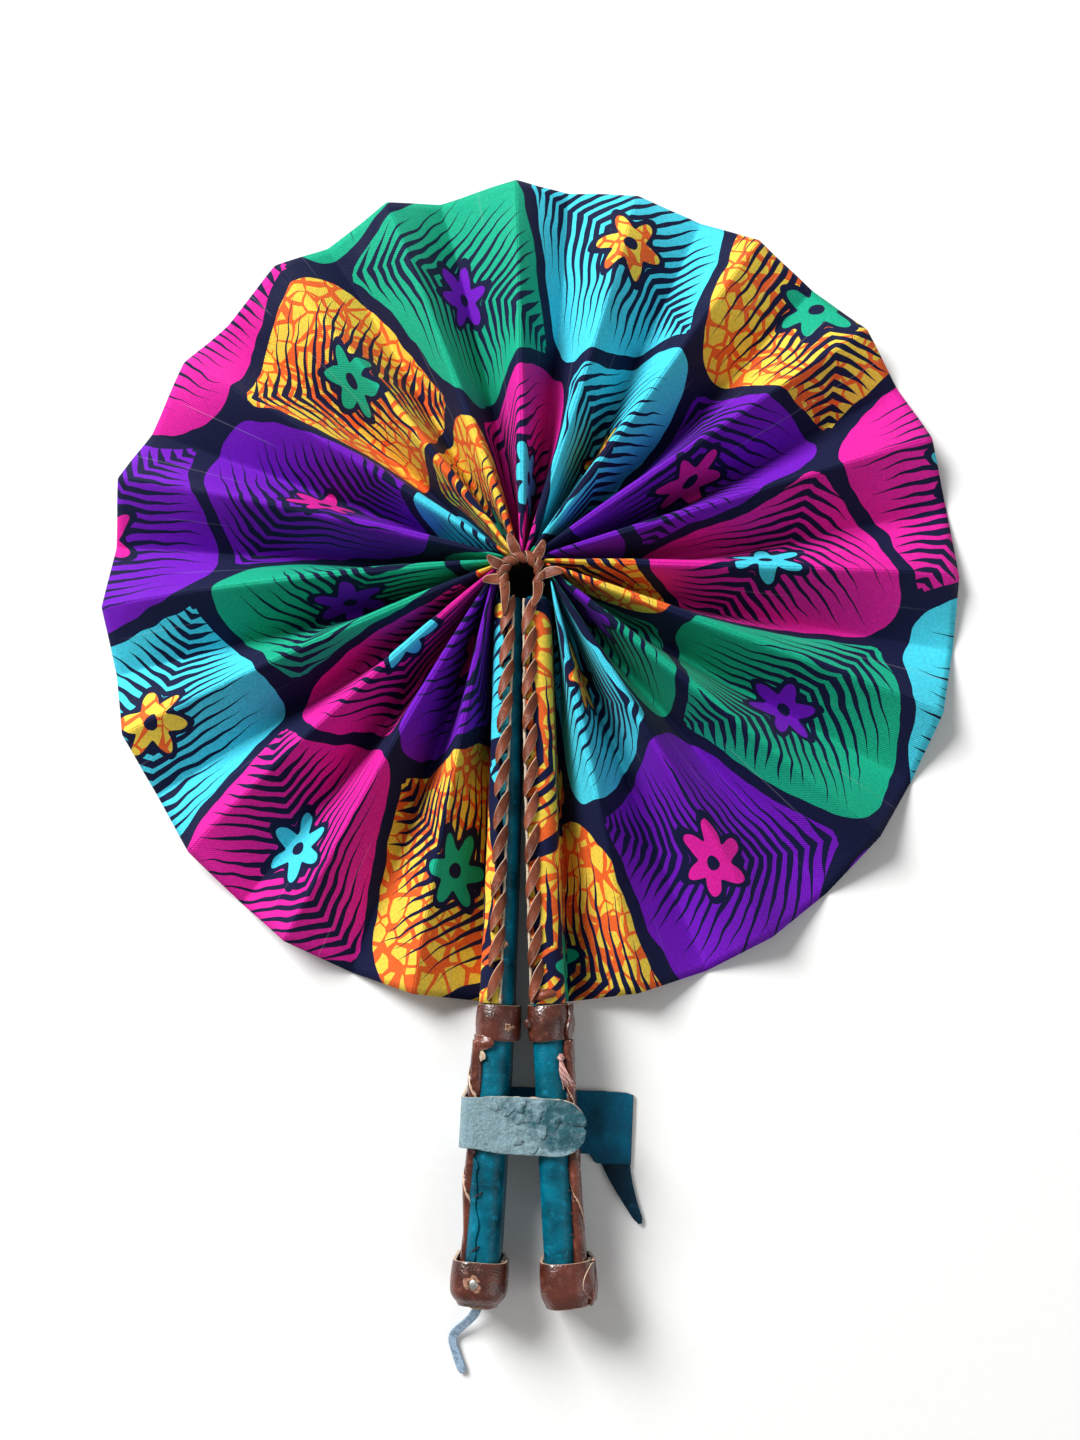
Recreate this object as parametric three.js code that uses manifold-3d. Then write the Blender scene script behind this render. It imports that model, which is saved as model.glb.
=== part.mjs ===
// Pleated cotton hand fan with two leather-covered sticks, opened to a full disc and lying on its back.
// Millimetres, +Z up towards the viewer, +Y from the grips towards the top of the leaf.
import * as THREE from 'three';
import { mergeVertices } from 'three/addons/utils/BufferGeometryUtils.js';
import Module from 'manifold-3d';

const wasm = await Module();
wasm.setup();

// Clearance and sheet thicknesses
const GAP = 0.3;
const CLOTH = 0.7;
const WRAP_LEATHER = 1.3;
const BAND_LEATHER = 1.4;
const STRAP_LEATHER = 1.3;

// Steps that round shapes are drawn with
const ROUND_SIDES = 16;
const CORD_SIDES = 8;
const CORNER_STEPS = 3;
const ARC_STEPS = 6;
const BEAD_RINGS = 7;

// Leaf: a pleated strip of cloth bent into a disc
const PLEATS = 19;
const LEAF_RADIUS = 150;
const RIM_EASE = 5;
const RIM_EASE_POWER = 4;
const RIM_SLOPE_DEGREES = 22;
const FOLD_GAP = 0.42;
const FOLD_FOOT = 0.2;
const PLEAT_STATIONS = [0, 0.06, 0.15, 0.3, 0.5, 0.75, 1];

// Sticks, measured along the fan from the hub's axis
const STICK_TOP = 9;
const STICK_TOP_WIDTH = 8.4;
const GRIP_WIDTH = 10.2;
const STICK_DEPTH = 20;
const STICK_CORNER = 3.6;
const STICK_GAP = 0.6;
const FOOT_SPLAY = 7.7;
const STICK_PROUD = 0.7;
const STICK_STATIONS = 11;
const LEAST_CORNER = 0.4;
const MOST_ROUND = 0.49;
const CUT_PAST = 1;

// Bands on the sticks and the piping on the grips
const COLLAR_HEIGHT = 11.2;
const GRIP_LENGTH = 68.6;
const CAP_HEIGHT = 13.6;
const PIPING_DIAMETER = 3;
const PIPING_STATIONS = 8;
const TAB_WIDTH = 4.2;
const TAB_THICKNESS = 1.3;
const KNOB_DIAMETER = 3;
const KNOB_INSET = 2.5;
const KNOT_LENGTH = 6;
const KNOT_DIAMETER = 2.6;
const KNOT_FROM_COLLAR = 8;
const KNOT_OFFSET = 2.5;

// Nail in the left cap and rivet in the strap
const NAIL_SHANK = 1.6;
const NAIL_HEAD = 4.6;
const NAIL_HEAD_HEIGHT = 1.1;
const NAIL_CROWN = 3.6;
const NAIL_CROWN_HEIGHT = 0.8;
const NAIL_LENGTH = 9;
const NAIL_OFFSET = 1.6;
const RIVET_DIAMETER = 2.4;
const RIVET_LENGTH = 9;

// Lacing along each stick and round the hub
const WELT_WIDTH = 2.1;
const WELT_HEIGHT = 1.4;
const LACE_WIDTH = 3;
const LACE_THICKNESS = 1.1;
const LACE_SLACK = 0.5;
const LACE_EDGE = 0.75;
const LACING_LOOPS = 12;
const LACING_STEPS = 12;
const HUB_DROP = 2.7;
const HUB_LACE_WIDTH = 2;
const HUB_COIL = 2.2;
const HUB_LOOPS = 9;
const HUB_CLEARANCE = 0.45;
const HUB_STEPS = 12;

// Strap round the grips, and the thong at the left foot
const STRAP_WIDTH = 20.4;
const STRAP_FROM_COLLAR = 26;
const STRAP_BEND_RADIUS = 2;
const PIVOT_LIFT = 0.05;
const STRAP_REACH = 45.5;
const STRAP_FLARE = 2.8;
const STRAP_FLARE_WIDTH = 11.5;
const FLAP_REACH = 30.7;
const FLAP_ROUND = 7;
const TAIL_LENGTH = 18;
const TAIL_LEAN = 5;
const TAIL_TIP = 2.4;
const THONG_WIDTH = 3;
const THONG_THICKNESS = 1.1;
// Points of the thong: outward from the stick's centre, past the stick's end, and height
const THONG_ROUTE = [
  [1.5, 0.2, 6],
  [1.8, 3, 5.8],
  [7, 9, 2.8],
  [10, 13, 1.2],
  [8.4, 18, 0.9],
  [6.2, 24.5, 0.9],
];

// Distances along the sticks that follow from the sizes above
const LEAF_EDGE = LEAF_RADIUS - RIM_EASE;
const COLLAR_TOP = LEAF_EDGE + 2 * GAP;
const COLLAR_END = COLLAR_TOP + COLLAR_HEIGHT;
const CAP_TOP = COLLAR_END + GRIP_LENGTH;
const CAP_END = CAP_TOP + CAP_HEIGHT;
const STICK_END = CAP_END + STICK_PROUD;
const STRAP_AT = COLLAR_END + STRAP_FROM_COLLAR;

// Heights above the table
const STICK_BASE = BAND_LEATHER + GAP;
const STICK_FRONT = STICK_BASE + STICK_DEPTH;
const BAND_FRONT = STICK_FRONT + GAP + BAND_LEATHER;
const STRAP_FRONT = STICK_FRONT + GAP + STRAP_LEATHER;
const STRAP_BACK = STICK_BASE - GAP - STRAP_LEATHER;

// Colours of the materials
const COLOURS = {
  cotton: 0x1a1f45,
  tealLeather: 0x0b7f94,
  brownLeather: 0x7a4030,
  rawLeather: 0xcdb79a,
  strapLeather: 0x0a5266,
  suede: 0x93b5b5,
  thongLeather: 0x8fb0cc,
  wood: 0xb58a58,
  nailSteel: 0xb9b6ae,
  thread: 0xd23f8a,
};
const LEATHER_ROUGHNESS = 0.7;
const COTTON_ROUGHNESS = 0.85;
const STEEL_ROUGHNESS = 0.4;

const fan = new THREE.Group();

// Adds one named sub-part with a material of its own
function addPart(name, geometry, colour, parent = fan, roughness = LEATHER_ROUGHNESS, metalness = 0) {
  const material = new THREE.MeshStandardMaterial({ color: colour, roughness, metalness });
  const mesh = new THREE.Mesh(geometry, material);
  mesh.name = name;
  parent.add(mesh);
  return mesh;
}

// Volume inside a closed mesh, negative where its faces point inwards
function signedVolume(position, index) {
  const [a, b, c] = [new THREE.Vector3(), new THREE.Vector3(), new THREE.Vector3()];
  let volume = 0;
  for (let i = 0; i < index.length; i += 3) {
    a.fromArray(position, 3 * index[i]);
    b.fromArray(position, 3 * index[i + 1]);
    c.fromArray(position, 3 * index[i + 2]);
    volume += a.dot(b.cross(c)) / 6;
  }
  return volume;
}

// Triangles that close the end of a body
function endFaces(outline) {
  return THREE.ShapeUtils.triangulateShape(outline, []);
}

// Closed body through stations, each with a flat outline and a function that places it in space.
// The sides listed in turned are split along their other diagonal.
function loft(stations, facesOf = endFaces, turned = []) {
  const count = stations[0].outline.length;
  const position = stations.flatMap(({ outline, place }) => outline.flatMap((p) => place(p).toArray()));
  const index = [];
  for (let s = 0; s + 1 < stations.length; s += 1) {
    for (let k = 0; k < count; k += 1) {
      const a = s * count + k;
      const b = s * count + ((k + 1) % count);
      if (turned.includes(k)) {
        index.push(a, b, a + count, b, b + count, a + count);
      } else {
        index.push(a, b, b + count, a, b + count, a + count);
      }
    }
  }
  const last = (stations.length - 1) * count;
  for (const [a, b, c] of facesOf(stations[0].outline)) {
    index.push(c, b, a);
  }
  for (const [a, b, c] of facesOf(stations.at(-1).outline)) {
    index.push(last + a, last + b, last + c);
  }
  if (signedVolume(position, index) < 0) {
    index.reverse();
  }
  const geometry = new THREE.BufferGeometry();
  geometry.setAttribute('position', new THREE.Float32BufferAttribute(position, 3));
  geometry.setIndex(index);
  return geometry;
}

// Turns a geometry into a solid that can be cut
function solidOf(geometry) {
  const plain = geometry.clone();
  plain.deleteAttribute('normal');
  plain.deleteAttribute('uv');
  const merged = mergeVertices(plain);
  const vertProperties = new Float32Array(merged.attributes.position.array);
  const triVerts = new Uint32Array(merged.index.array);
  return new wasm.Manifold(new wasm.Mesh({ numProp: 3, vertProperties, triVerts }));
}

// Cuts tools out of a body
function cut(body, ...tools) {
  const left = tools.reduce((solid, tool) => solid.subtract(solidOf(tool)), solidOf(body));
  const mesh = left.getMesh();
  const geometry = new THREE.BufferGeometry();
  geometry.setAttribute('position', new THREE.Float32BufferAttribute(mesh.vertProperties, 3));
  geometry.setIndex(Array.from(mesh.triVerts));
  return geometry;
}

// Upright round bar between two heights
function post(x, y, low, high, radius) {
  const bar = new THREE.CylinderGeometry(radius, radius, high - low, ROUND_SIDES);
  bar.rotateX(Math.PI / 2);
  bar.translate(x, y, (low + high) / 2);
  return bar;
}

// Rectangle with round corners, counter-clockwise, across a stick: u outwards and z up
function roundedOutline(u0, u1, z0, z1, radius) {
  const r = Math.min(radius, MOST_ROUND * (u1 - u0), MOST_ROUND * (z1 - z0));
  const corners = [[u1 - r, z0 + r, -90], [u1 - r, z1 - r, 0], [u0 + r, z1 - r, 90], [u0 + r, z0 + r, 180]];
  const points = [];
  for (const [u, z, start] of corners) {
    for (let k = 0; k <= CORNER_STEPS; k += 1) {
      const angle = THREE.MathUtils.degToRad(start + (90 * k) / CORNER_STEPS);
      points.push(new THREE.Vector2(u + r * Math.cos(angle), z + r * Math.sin(angle)));
    }
  }
  return points;
}

// Oval outline, counter-clockwise
function ovalOutline(u, z, width, height) {
  return Array.from({ length: CORD_SIDES }, (_, k) => {
    const angle = (2 * Math.PI * k) / CORD_SIDES;
    return new THREE.Vector2(u + (width / 2) * Math.cos(angle), z + (height / 2) * Math.sin(angle));
  });
}

// Half width of a covered stick, and where its inner edge and centre run
function halfWidth(d) {
  return THREE.MathUtils.lerp(STICK_TOP_WIDTH, GRIP_WIDTH, Math.min(d / COLLAR_TOP, 1)) / 2;
}

function innerEdge(d) {
  return STICK_GAP / 2 + FOOT_SPLAY * (d / STICK_END) ** 2;
}

function stickCentre(d) {
  return innerEdge(d) + halfWidth(d);
}

// Lean of the grip away from the fan's middle line
function stickSlope(d) {
  return (stickCentre(d + 1) - stickCentre(d - 1)) / 2;
}

// Places a point across a stick, on the left for side -1 and on the right for side 1
function onStick(side, d, u, z) {
  const outward = new THREE.Vector3(side, stickSlope(d), 0).normalize();
  return new THREE.Vector3(side * stickCentre(d), -d, z).addScaledVector(outward, u);
}

// Evenly spaced distances, ends included
function spread(from, to, count) {
  return Array.from({ length: count }, (_, k) => THREE.MathUtils.lerp(from, to, k / (count - 1)));
}

// Body swept along a stick with an outline that may change on the way
function alongStick(side, distances, outlineAt) {
  return loft(distances.map((d) => ({
    outline: outlineAt(d),
    place: (p) => onStick(side, d, p.x, p.y),
  })));
}

// Outline of the covered stick grown by a margin, and by more on its outer side
function stickOutline(d, margin, extra = 0) {
  const reach = halfWidth(d) + margin;
  const radius = Math.max(STICK_CORNER + margin, LEAST_CORNER);
  return roundedOutline(-reach, reach + extra, STICK_BASE - margin, STICK_FRONT + margin, radius);
}

// Tube round a stick, open at both ends
function stickSleeve(side, from, to, inner, thickness, count, extra = 0) {
  const wallRun = spread(from, to, count);
  const boreRun = spread(from - CUT_PAST, to + CUT_PAST, count);
  const outside = alongStick(side, wallRun, (d) => stickOutline(d, inner + thickness, extra));
  const inside = alongStick(side, boreRun, (d) => stickOutline(d, inner, extra));
  return cut(outside, inside);
}

// Flat strip along points, with a normal at each point
function ribbon(points, normals, width, thickness) {
  const outline = [[-1, -1], [1, -1], [1, 1], [-1, 1]].map(([u, v]) => new THREE.Vector2(u, v));
  return loft(points.map((point, k) => {
    const before = points[Math.max(k - 1, 0)];
    const after = points[Math.min(k + 1, points.length - 1)];
    const along = after.clone().sub(before).normalize();
    const across = along.cross(normals[k]).normalize();
    return {
      outline,
      place: (p) => point.clone()
        .addScaledVector(across, (p.x * width) / 2)
        .addScaledVector(normals[k], (p.y * thickness) / 2),
    };
  }));
}

// Least distance between the corners of a winding that are more than half a loop apart
function leastSelfGap(geometry, steps) {
  const position = geometry.attributes.position;
  const corners = [];
  for (let k = 0; k < position.count; k += 1) {
    corners.push(new THREE.Vector3().fromBufferAttribute(position, k));
  }
  const apart = 2 * steps;
  let least = Infinity;
  for (let i = 0; i < corners.length; i += 1) {
    for (let j = i + apart; j < corners.length; j += 1) {
      least = Math.min(least, corners[i].distanceTo(corners[j]));
    }
  }
  return least;
}

function printSelfGap(mesh, steps) {
  console.log(`${mesh.name} least gap to itself: ${leastSelfGap(mesh.geometry, steps).toFixed(2)} mm`);
}

// Distance from the middle line to the first fold of the leaf, beside a stick
function leafOffset(d) {
  return innerEdge(d) + 2 * halfWidth(d) + GAP + CLOTH + GAP / 2;
}

// The leaf's inner ends lie on a ring round the hub, and its outer ends on the rim
const RING_START = Math.PI + Math.atan2(STICK_TOP - HUB_DROP, leafOffset(STICK_TOP));
const RING_RADIUS = Math.hypot(leafOffset(STICK_TOP), STICK_TOP - HUB_DROP);
const RIM_START = Math.PI + Math.atan2(LEAF_EDGE, leafOffset(LEAF_EDGE));
const RIM_START_RADIUS = Math.hypot(leafOffset(LEAF_EDGE), LEAF_EDGE);

function ringPoint(t) {
  const angle = THREE.MathUtils.lerp(RING_START, Math.PI - RING_START, t);
  return new THREE.Vector2(RING_RADIUS * Math.cos(angle), RING_RADIUS * Math.sin(angle) - HUB_DROP);
}

function rimPoint(t) {
  const angle = THREE.MathUtils.lerp(RIM_START, Math.PI - RIM_START, t);
  const ease = (1 - Math.sin(Math.PI * t)) ** RIM_EASE_POWER;
  const radius = THREE.MathUtils.lerp(LEAF_RADIUS, RIM_START_RADIUS, ease);
  return new THREE.Vector2(radius * Math.cos(angle), radius * Math.sin(angle));
}

// Point of the leaf seen from above: t runs from the left stick over the top to the right stick
function leafPoint(t, rho) {
  return ringPoint(t).lerp(rimPoint(t), rho);
}

// Width of one face of a pleat, from the slope of the folds at the top of the rim
const HALF_PITCH = 0.5 / PLEATS;
const TOP_FACE = leafPoint(0.5, 1).distanceTo(leafPoint(0.5 + HALF_PITCH, 1));
const PLEAT_FACE = TOP_FACE / Math.cos(THREE.MathUtils.degToRad(RIM_SLOPE_DEGREES));

// Section of one pleat: a roof of two thin walls, valley to valley
function pleatStation(ridgeT, rho) {
  const ridge = leafPoint(ridgeT, rho);
  const before = leafPoint(ridgeT - HALF_PITCH, rho);
  const after = leafPoint(ridgeT + HALF_PITCH, rho);
  const reach = (ridge.distanceTo(before) + ridge.distanceTo(after)) / 2;
  const height = Math.sqrt(Math.max(PLEAT_FACE ** 2 - reach ** 2, 0));
  const face = Math.hypot(reach, height);
  const half = CLOTH / 2;
  const top = half + height;
  const rise = (half * face) / reach;
  const edge = reach - FOLD_GAP / 2;
  const inside = edge - FOLD_FOOT;
  const wallAt = (u) => top - (height / reach) * u;
  const profile = [
    [edge, wallAt(inside) - rise],
    [edge, wallAt(edge) + rise],
    [(half * height) / face, top + (half * reach) / face],
  ];
  const mirrored = profile.map(([u, z]) => [-u, z]).reverse();
  const points = [
    ...profile,
    ...mirrored,
    [-inside, wallAt(inside) - rise],
    [0, top - rise],
    [inside, wallAt(inside) - rise],
  ];
  return {
    outline: points.map(([u, z]) => new THREE.Vector2(u, z)),
    place: (p) => {
      const seen = ridge.clone().lerp(p.x < 0 ? before : after, Math.abs(p.x) / reach);
      return new THREE.Vector3(seen.x, seen.y, p.y);
    },
  };
}

// Sides of a pleat that run from its ridge down, split so that both faces of a wall bend alike
const PLEAT_DOWN_SIDES = [3, 7];

// End of a pleat, closed across its two walls
function pleatEndFaces() {
  return [[0, 1, 8], [1, 7, 8], [1, 2, 7], [2, 3, 7], [3, 4, 7], [4, 6, 7], [4, 5, 6]];
}

// The pleats, from the left stick over the top to the right stick, each turning at the fold before it
function addPleats() {
  for (let i = 1; i <= PLEATS; i += 1) {
    const ridgeT = (i - 0.5) / PLEATS;
    const stations = PLEAT_STATIONS.map((rho) => pleatStation(ridgeT, rho));
    const geometry = loft(stations, pleatEndFaces, PLEAT_DOWN_SIDES);
    const name = `pleat_${String(i).padStart(2, '0')}`;
    const mesh = addPart(name, geometry, COLOURS.cotton, fan, COTTON_ROUGHNESS);
    mesh.userData.pivot = ringPoint(ridgeT - HALF_PITCH).toArray();
    mesh.userData.ridge = rimPoint(ridgeT).sub(ringPoint(ridgeT)).toArray();
  }
}

// The lacing lies over the stick near its inner edge, and the hem of the leaf starts beside it
const COIL_U = WELT_WIDTH / 2 + LACE_SLACK + LACE_THICKNESS / 2;
const COIL_Z = WELT_HEIGHT / 2 + LACE_SLACK + LACE_THICKNESS / 2;
const COIL_REACH = COIL_U + LACE_THICKNESS / 2;
const LACE_CENTRE_Z = STICK_FRONT + GAP + LACE_THICKNESS / 2 + COIL_Z;

function laceCentre(d) {
  return LACE_EDGE + COIL_REACH - halfWidth(d);
}

// Ring lace at the hub, just inside the pleats and just above the sticks
const HUB_COIL_REACH = HUB_COIL + LACE_THICKNESS / 2;
const HUB_LACE_RADIUS = RING_RADIUS - HUB_CLEARANCE - HUB_COIL_REACH;
const HUB_LACE_Z = STICK_FRONT + GAP + HUB_COIL_REACH;
const LACING_TOP = HUB_DROP - HUB_LACE_RADIUS * Math.sin(RING_START) + HUB_COIL_REACH + LACE_WIDTH / 2 + GAP;
const LACING_END = LEAF_EDGE - LACE_WIDTH / 2;
const HEM_TOP = LACING_TOP - LACE_WIDTH / 2;

function hubLace() {
  const count = HUB_LOOPS * HUB_STEPS;
  const points = [];
  const normals = [];
  for (let k = 0; k <= count; k += 1) {
    const angle = THREE.MathUtils.lerp(RING_START, Math.PI - RING_START, k / count);
    const turn = (2 * Math.PI * k) / HUB_STEPS;
    const outward = new THREE.Vector3(Math.cos(angle), Math.sin(angle), 0);
    const normal = outward.clone().multiplyScalar(Math.cos(turn)).setZ(Math.sin(turn));
    const centre = outward.multiplyScalar(HUB_LACE_RADIUS).add(new THREE.Vector3(0, -HUB_DROP, HUB_LACE_Z));
    points.push(centre.addScaledVector(normal, HUB_COIL));
    normals.push(normal);
  }
  return ribbon(points, normals, HUB_LACE_WIDTH, LACE_THICKNESS);
}

function stickLacing(side) {
  const count = LACING_LOOPS * LACING_STEPS;
  const points = [];
  const normals = [];
  for (let k = 0; k <= count; k += 1) {
    const d = THREE.MathUtils.lerp(LACING_TOP, LACING_END, k / count);
    const turn = (2 * Math.PI * k) / LACING_STEPS;
    const centre = onStick(side, d, laceCentre(d), LACE_CENTRE_Z);
    const [across, up] = [Math.cos(turn), Math.sin(turn)];
    points.push(onStick(side, d, laceCentre(d) + COIL_U * across, LACE_CENTRE_Z + COIL_Z * up));
    const facing = onStick(side, d, laceCentre(d) + COIL_Z * across, LACE_CENTRE_Z + COIL_U * up);
    normals.push(facing.sub(centre).normalize());
  }
  return ribbon(points, normals, LACE_WIDTH, LACE_THICKNESS);
}

// Welt of raw leather that the lacing goes round
function stickWelt(side) {
  const distances = spread(HEM_TOP, LEAF_EDGE, STICK_STATIONS);
  return alongStick(side, distances, (d) => (
    ovalOutline(laceCentre(d), LACE_CENTRE_Z, WELT_WIDTH, WELT_HEIGHT)
  ));
}

// End of the leaf: a hem over the stick's front, and a wall down its outer side
function leafEnd(side) {
  const distances = spread(HEM_TOP, LEAF_EDGE, STICK_STATIONS);
  return alongStick(side, distances, (d) => {
    const wall = halfWidth(d) + GAP;
    const hem = laceCentre(d) + COIL_REACH + GAP;
    const front = STICK_FRONT + GAP;
    const points = [
      [wall, CLOTH / 2],
      [wall + CLOTH, CLOTH / 2],
      [wall + CLOTH, front + CLOTH],
      [hem, front + CLOTH],
      [hem, front],
      [wall, front],
    ];
    return points.map(([u, z]) => new THREE.Vector2(u, z));
  });
}

// Wooden stick inside the leather, with holes where the nail and the rivet go in
const NAIL_AT = CAP_TOP + CAP_HEIGHT / 2;
const NAIL_SEAT = BAND_FRONT + GAP;
const NAIL_POINT = onStick(-1, NAIL_AT, NAIL_OFFSET, NAIL_SEAT);
const RIVET_POINT = onStick(-1, STRAP_AT, 0, STRAP_BACK);
const RIVET_END = STRAP_BACK + RIVET_LENGTH;
const NAIL_END = NAIL_SEAT - NAIL_LENGTH;

function nailHole() {
  return post(NAIL_POINT.x, NAIL_POINT.y, NAIL_END - GAP, NAIL_SEAT + GAP, NAIL_SHANK / 2 + GAP);
}

function rivetHole() {
  return post(RIVET_POINT.x, RIVET_POINT.y, STRAP_BACK - GAP, RIVET_END + GAP, RIVET_DIAMETER / 2 + GAP);
}

function woodStick(side) {
  const distances = spread(STICK_TOP, STICK_END, STICK_STATIONS);
  return alongStick(side, distances, (d) => stickOutline(d, -WRAP_LEATHER - GAP));
}

function leatherWrap(side) {
  return stickSleeve(side, STICK_TOP, STICK_END, -WRAP_LEATHER, WRAP_LEATHER, STICK_STATIONS);
}

// Round leather cord along the outer side of a grip, tucked into the end cap
function gripPiping(side) {
  const distances = spread(COLLAR_END + GAP, CAP_END - GAP, PIPING_STATIONS);
  const height = (STICK_BASE + STICK_FRONT) / 2;
  const u = GRIP_WIDTH / 2 + GAP + PIPING_DIAMETER / 2;
  return alongStick(side, distances, () => ovalOutline(u, height, PIPING_DIAMETER, PIPING_DIAMETER));
}

function collar(side) {
  return stickSleeve(side, COLLAR_TOP, COLLAR_END, GAP, BAND_LEATHER, 2);
}

function endCap(side) {
  return stickSleeve(side, CAP_TOP, CAP_END, GAP, BAND_LEATHER, 2, PIPING_DIAMETER + GAP);
}

// Round-headed nail, its axis upright
function capNail() {
  const shank = NAIL_SHANK / 2;
  const head = NAIL_HEAD / 2;
  const profile = [
    [0, -NAIL_LENGTH],
    [shank, -NAIL_LENGTH],
    [shank, 0],
    [head, 0],
    [NAIL_CROWN / 2, NAIL_CROWN_HEIGHT],
    [0, NAIL_HEAD_HEIGHT],
  ];
  const nail = new THREE.LatheGeometry(profile.map(([r, z]) => new THREE.Vector2(r, z)), ROUND_SIDES);
  nail.rotateX(Math.PI / 2);
  nail.translate(NAIL_POINT.x, NAIL_POINT.y, NAIL_SEAT);
  return nail;
}

// Tucked end of a leather band, lying on the band's front
function bandTab(side, from, to, outer) {
  const low = BAND_FRONT + GAP;
  const distances = spread(from, to, 2);
  return alongStick(side, distances, () => (
    roundedOutline(outer - TAB_WIDTH, outer, low, low + TAB_THICKNESS, TAB_THICKNESS / 2)
  ));
}

// Egg-shaped knob or knot, lying on the front of a stick or a band
function bead(side, d, u, seat, length, diameter) {
  const egg = new THREE.SphereGeometry(diameter / 2, ROUND_SIDES, BEAD_RINGS);
  egg.scale(1, length / diameter, 1);
  const at = onStick(side, d, u, seat + GAP + diameter / 2);
  egg.translate(at.x, at.y, at.z);
  return egg;
}

// Strip that sticks out past the foot of the left stick
function thong() {
  const route = THONG_ROUTE.map(([u, past, z]) => onStick(-1, STICK_END + GAP + past, u, z));
  const points = new THREE.CatmullRomCurve3(route).getPoints(2 * THONG_ROUTE.length);
  return ribbon(points, points.map(() => new THREE.Vector3(0, 0, 1)), THONG_WIDTH, THONG_THICKNESS);
}

// Flat piece cut from strap leather, between two heights
function strapPlate(outline, low) {
  const shape = new THREE.Shape(outline);
  const plate = new THREE.ExtrudeGeometry(shape, { depth: STRAP_LEATHER, bevelEnabled: false });
  plate.translate(0, 0, low);
  return plate;
}

// The strap is laid out across the left grip: x towards the right grip, y up the grip
const BEND_INSIDE = GRIP_WIDTH / 2 + PIPING_DIAMETER + 2 * GAP;
const BEND_OUTER_RADIUS = STRAP_BEND_RADIUS + STRAP_LEATHER;
const BEND_START = STRAP_BEND_RADIUS - BEND_INSIDE;
const STRAP_START = BEND_START + GAP;

function strapBack() {
  const half = STRAP_WIDTH / 2;
  const flareStart = STRAP_REACH - STRAP_FLARE_WIDTH;
  const outline = [
    [STRAP_START, -half],
    [flareStart - STRAP_FLARE, -half],
    [flareStart, -half - STRAP_FLARE],
    [STRAP_REACH, -half - STRAP_FLARE],
    [STRAP_REACH, half - STRAP_FLARE],
    [STRAP_REACH - STRAP_FLARE, half],
    [STRAP_START, half],
  ];
  const plate = strapPlate(outline.map(([x, y]) => new THREE.Vector2(x, y)), STRAP_BACK);
  return cut(plate, post(0, 0, STRAP_BACK - GAP, STRAP_BACK + STRAP_LEATHER + GAP, RIVET_DIAMETER / 2 + GAP));
}

function strapBend() {
  const low = STRAP_BACK + BEND_OUTER_RADIUS;
  const high = STRAP_FRONT - BEND_OUTER_RADIUS;
  const shape = new THREE.Shape();
  shape.moveTo(BEND_START, STRAP_BACK);
  shape.absarc(BEND_START, low, BEND_OUTER_RADIUS, -Math.PI / 2, -Math.PI, true);
  shape.absarc(BEND_START, high, BEND_OUTER_RADIUS, Math.PI, Math.PI / 2, true);
  shape.lineTo(BEND_START, STRAP_FRONT - STRAP_LEATHER);
  shape.absarc(BEND_START, high, STRAP_BEND_RADIUS, Math.PI / 2, Math.PI, false);
  shape.absarc(BEND_START, low, STRAP_BEND_RADIUS, -Math.PI, -Math.PI / 2, false);
  shape.closePath();
  const settings = { depth: STRAP_WIDTH, bevelEnabled: false, curveSegments: ARC_STEPS };
  const bend = new THREE.ExtrudeGeometry(shape, settings);
  bend.rotateX(Math.PI / 2);
  bend.translate(0, STRAP_WIDTH / 2, 0);
  return bend;
}

function strapFlap() {
  const half = STRAP_WIDTH / 2;
  const shape = new THREE.Shape();
  shape.moveTo(STRAP_START, -half);
  shape.lineTo(FLAP_REACH - FLAP_ROUND, -half);
  shape.absarc(FLAP_REACH - FLAP_ROUND, FLAP_ROUND - half, FLAP_ROUND, -Math.PI / 2, 0, false);
  shape.absarc(FLAP_REACH - FLAP_ROUND, half - FLAP_ROUND, FLAP_ROUND, 0, Math.PI / 2, false);
  shape.lineTo(STRAP_START, half);
  shape.closePath();
  return strapPlate(shape.getPoints(ARC_STEPS), STRAP_FRONT - STRAP_LEATHER);
}

function strapTail() {
  const top = -STRAP_WIDTH / 2 - STRAP_FLARE - GAP;
  const left = STRAP_REACH - STRAP_FLARE_WIDTH;
  const outline = [
    [left, top],
    [STRAP_REACH + TAIL_LEAN - TAIL_TIP, top - TAIL_LENGTH],
    [STRAP_REACH + TAIL_LEAN, top - TAIL_LENGTH],
    [STRAP_REACH, top],
  ];
  return strapPlate(outline.map(([x, y]) => new THREE.Vector2(x, y)), STRAP_BACK);
}

// Pieces that both sticks have
function addStick(side, name, cuts) {
  const covered = {
    stick: [woodStick(side), COLOURS.wood],
    wrap: [leatherWrap(side), COLOURS.tealLeather],
    end_cap: [endCap(side), COLOURS.brownLeather],
  };
  for (const [piece, [geometry, colour]] of Object.entries(covered)) {
    const holes = cuts[piece] ?? [];
    addPart(`${name}_${piece}`, holes.length ? cut(geometry, ...holes) : geometry, colour);
  }
  addPart(`${name}_collar`, collar(side), COLOURS.brownLeather);
  addPart(`${name}_piping`, gripPiping(side), COLOURS.brownLeather);
  addPart(`${name}_welt`, stickWelt(side), COLOURS.rawLeather);
  const lacing = addPart(`${name}_lacing`, stickLacing(side), COLOURS.brownLeather);
  printSelfGap(lacing, LACING_STEPS);
  addPart(`leaf_end_${name}`, leafEnd(side), COLOURS.cotton, fan, COTTON_ROUGHNESS);
}

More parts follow.
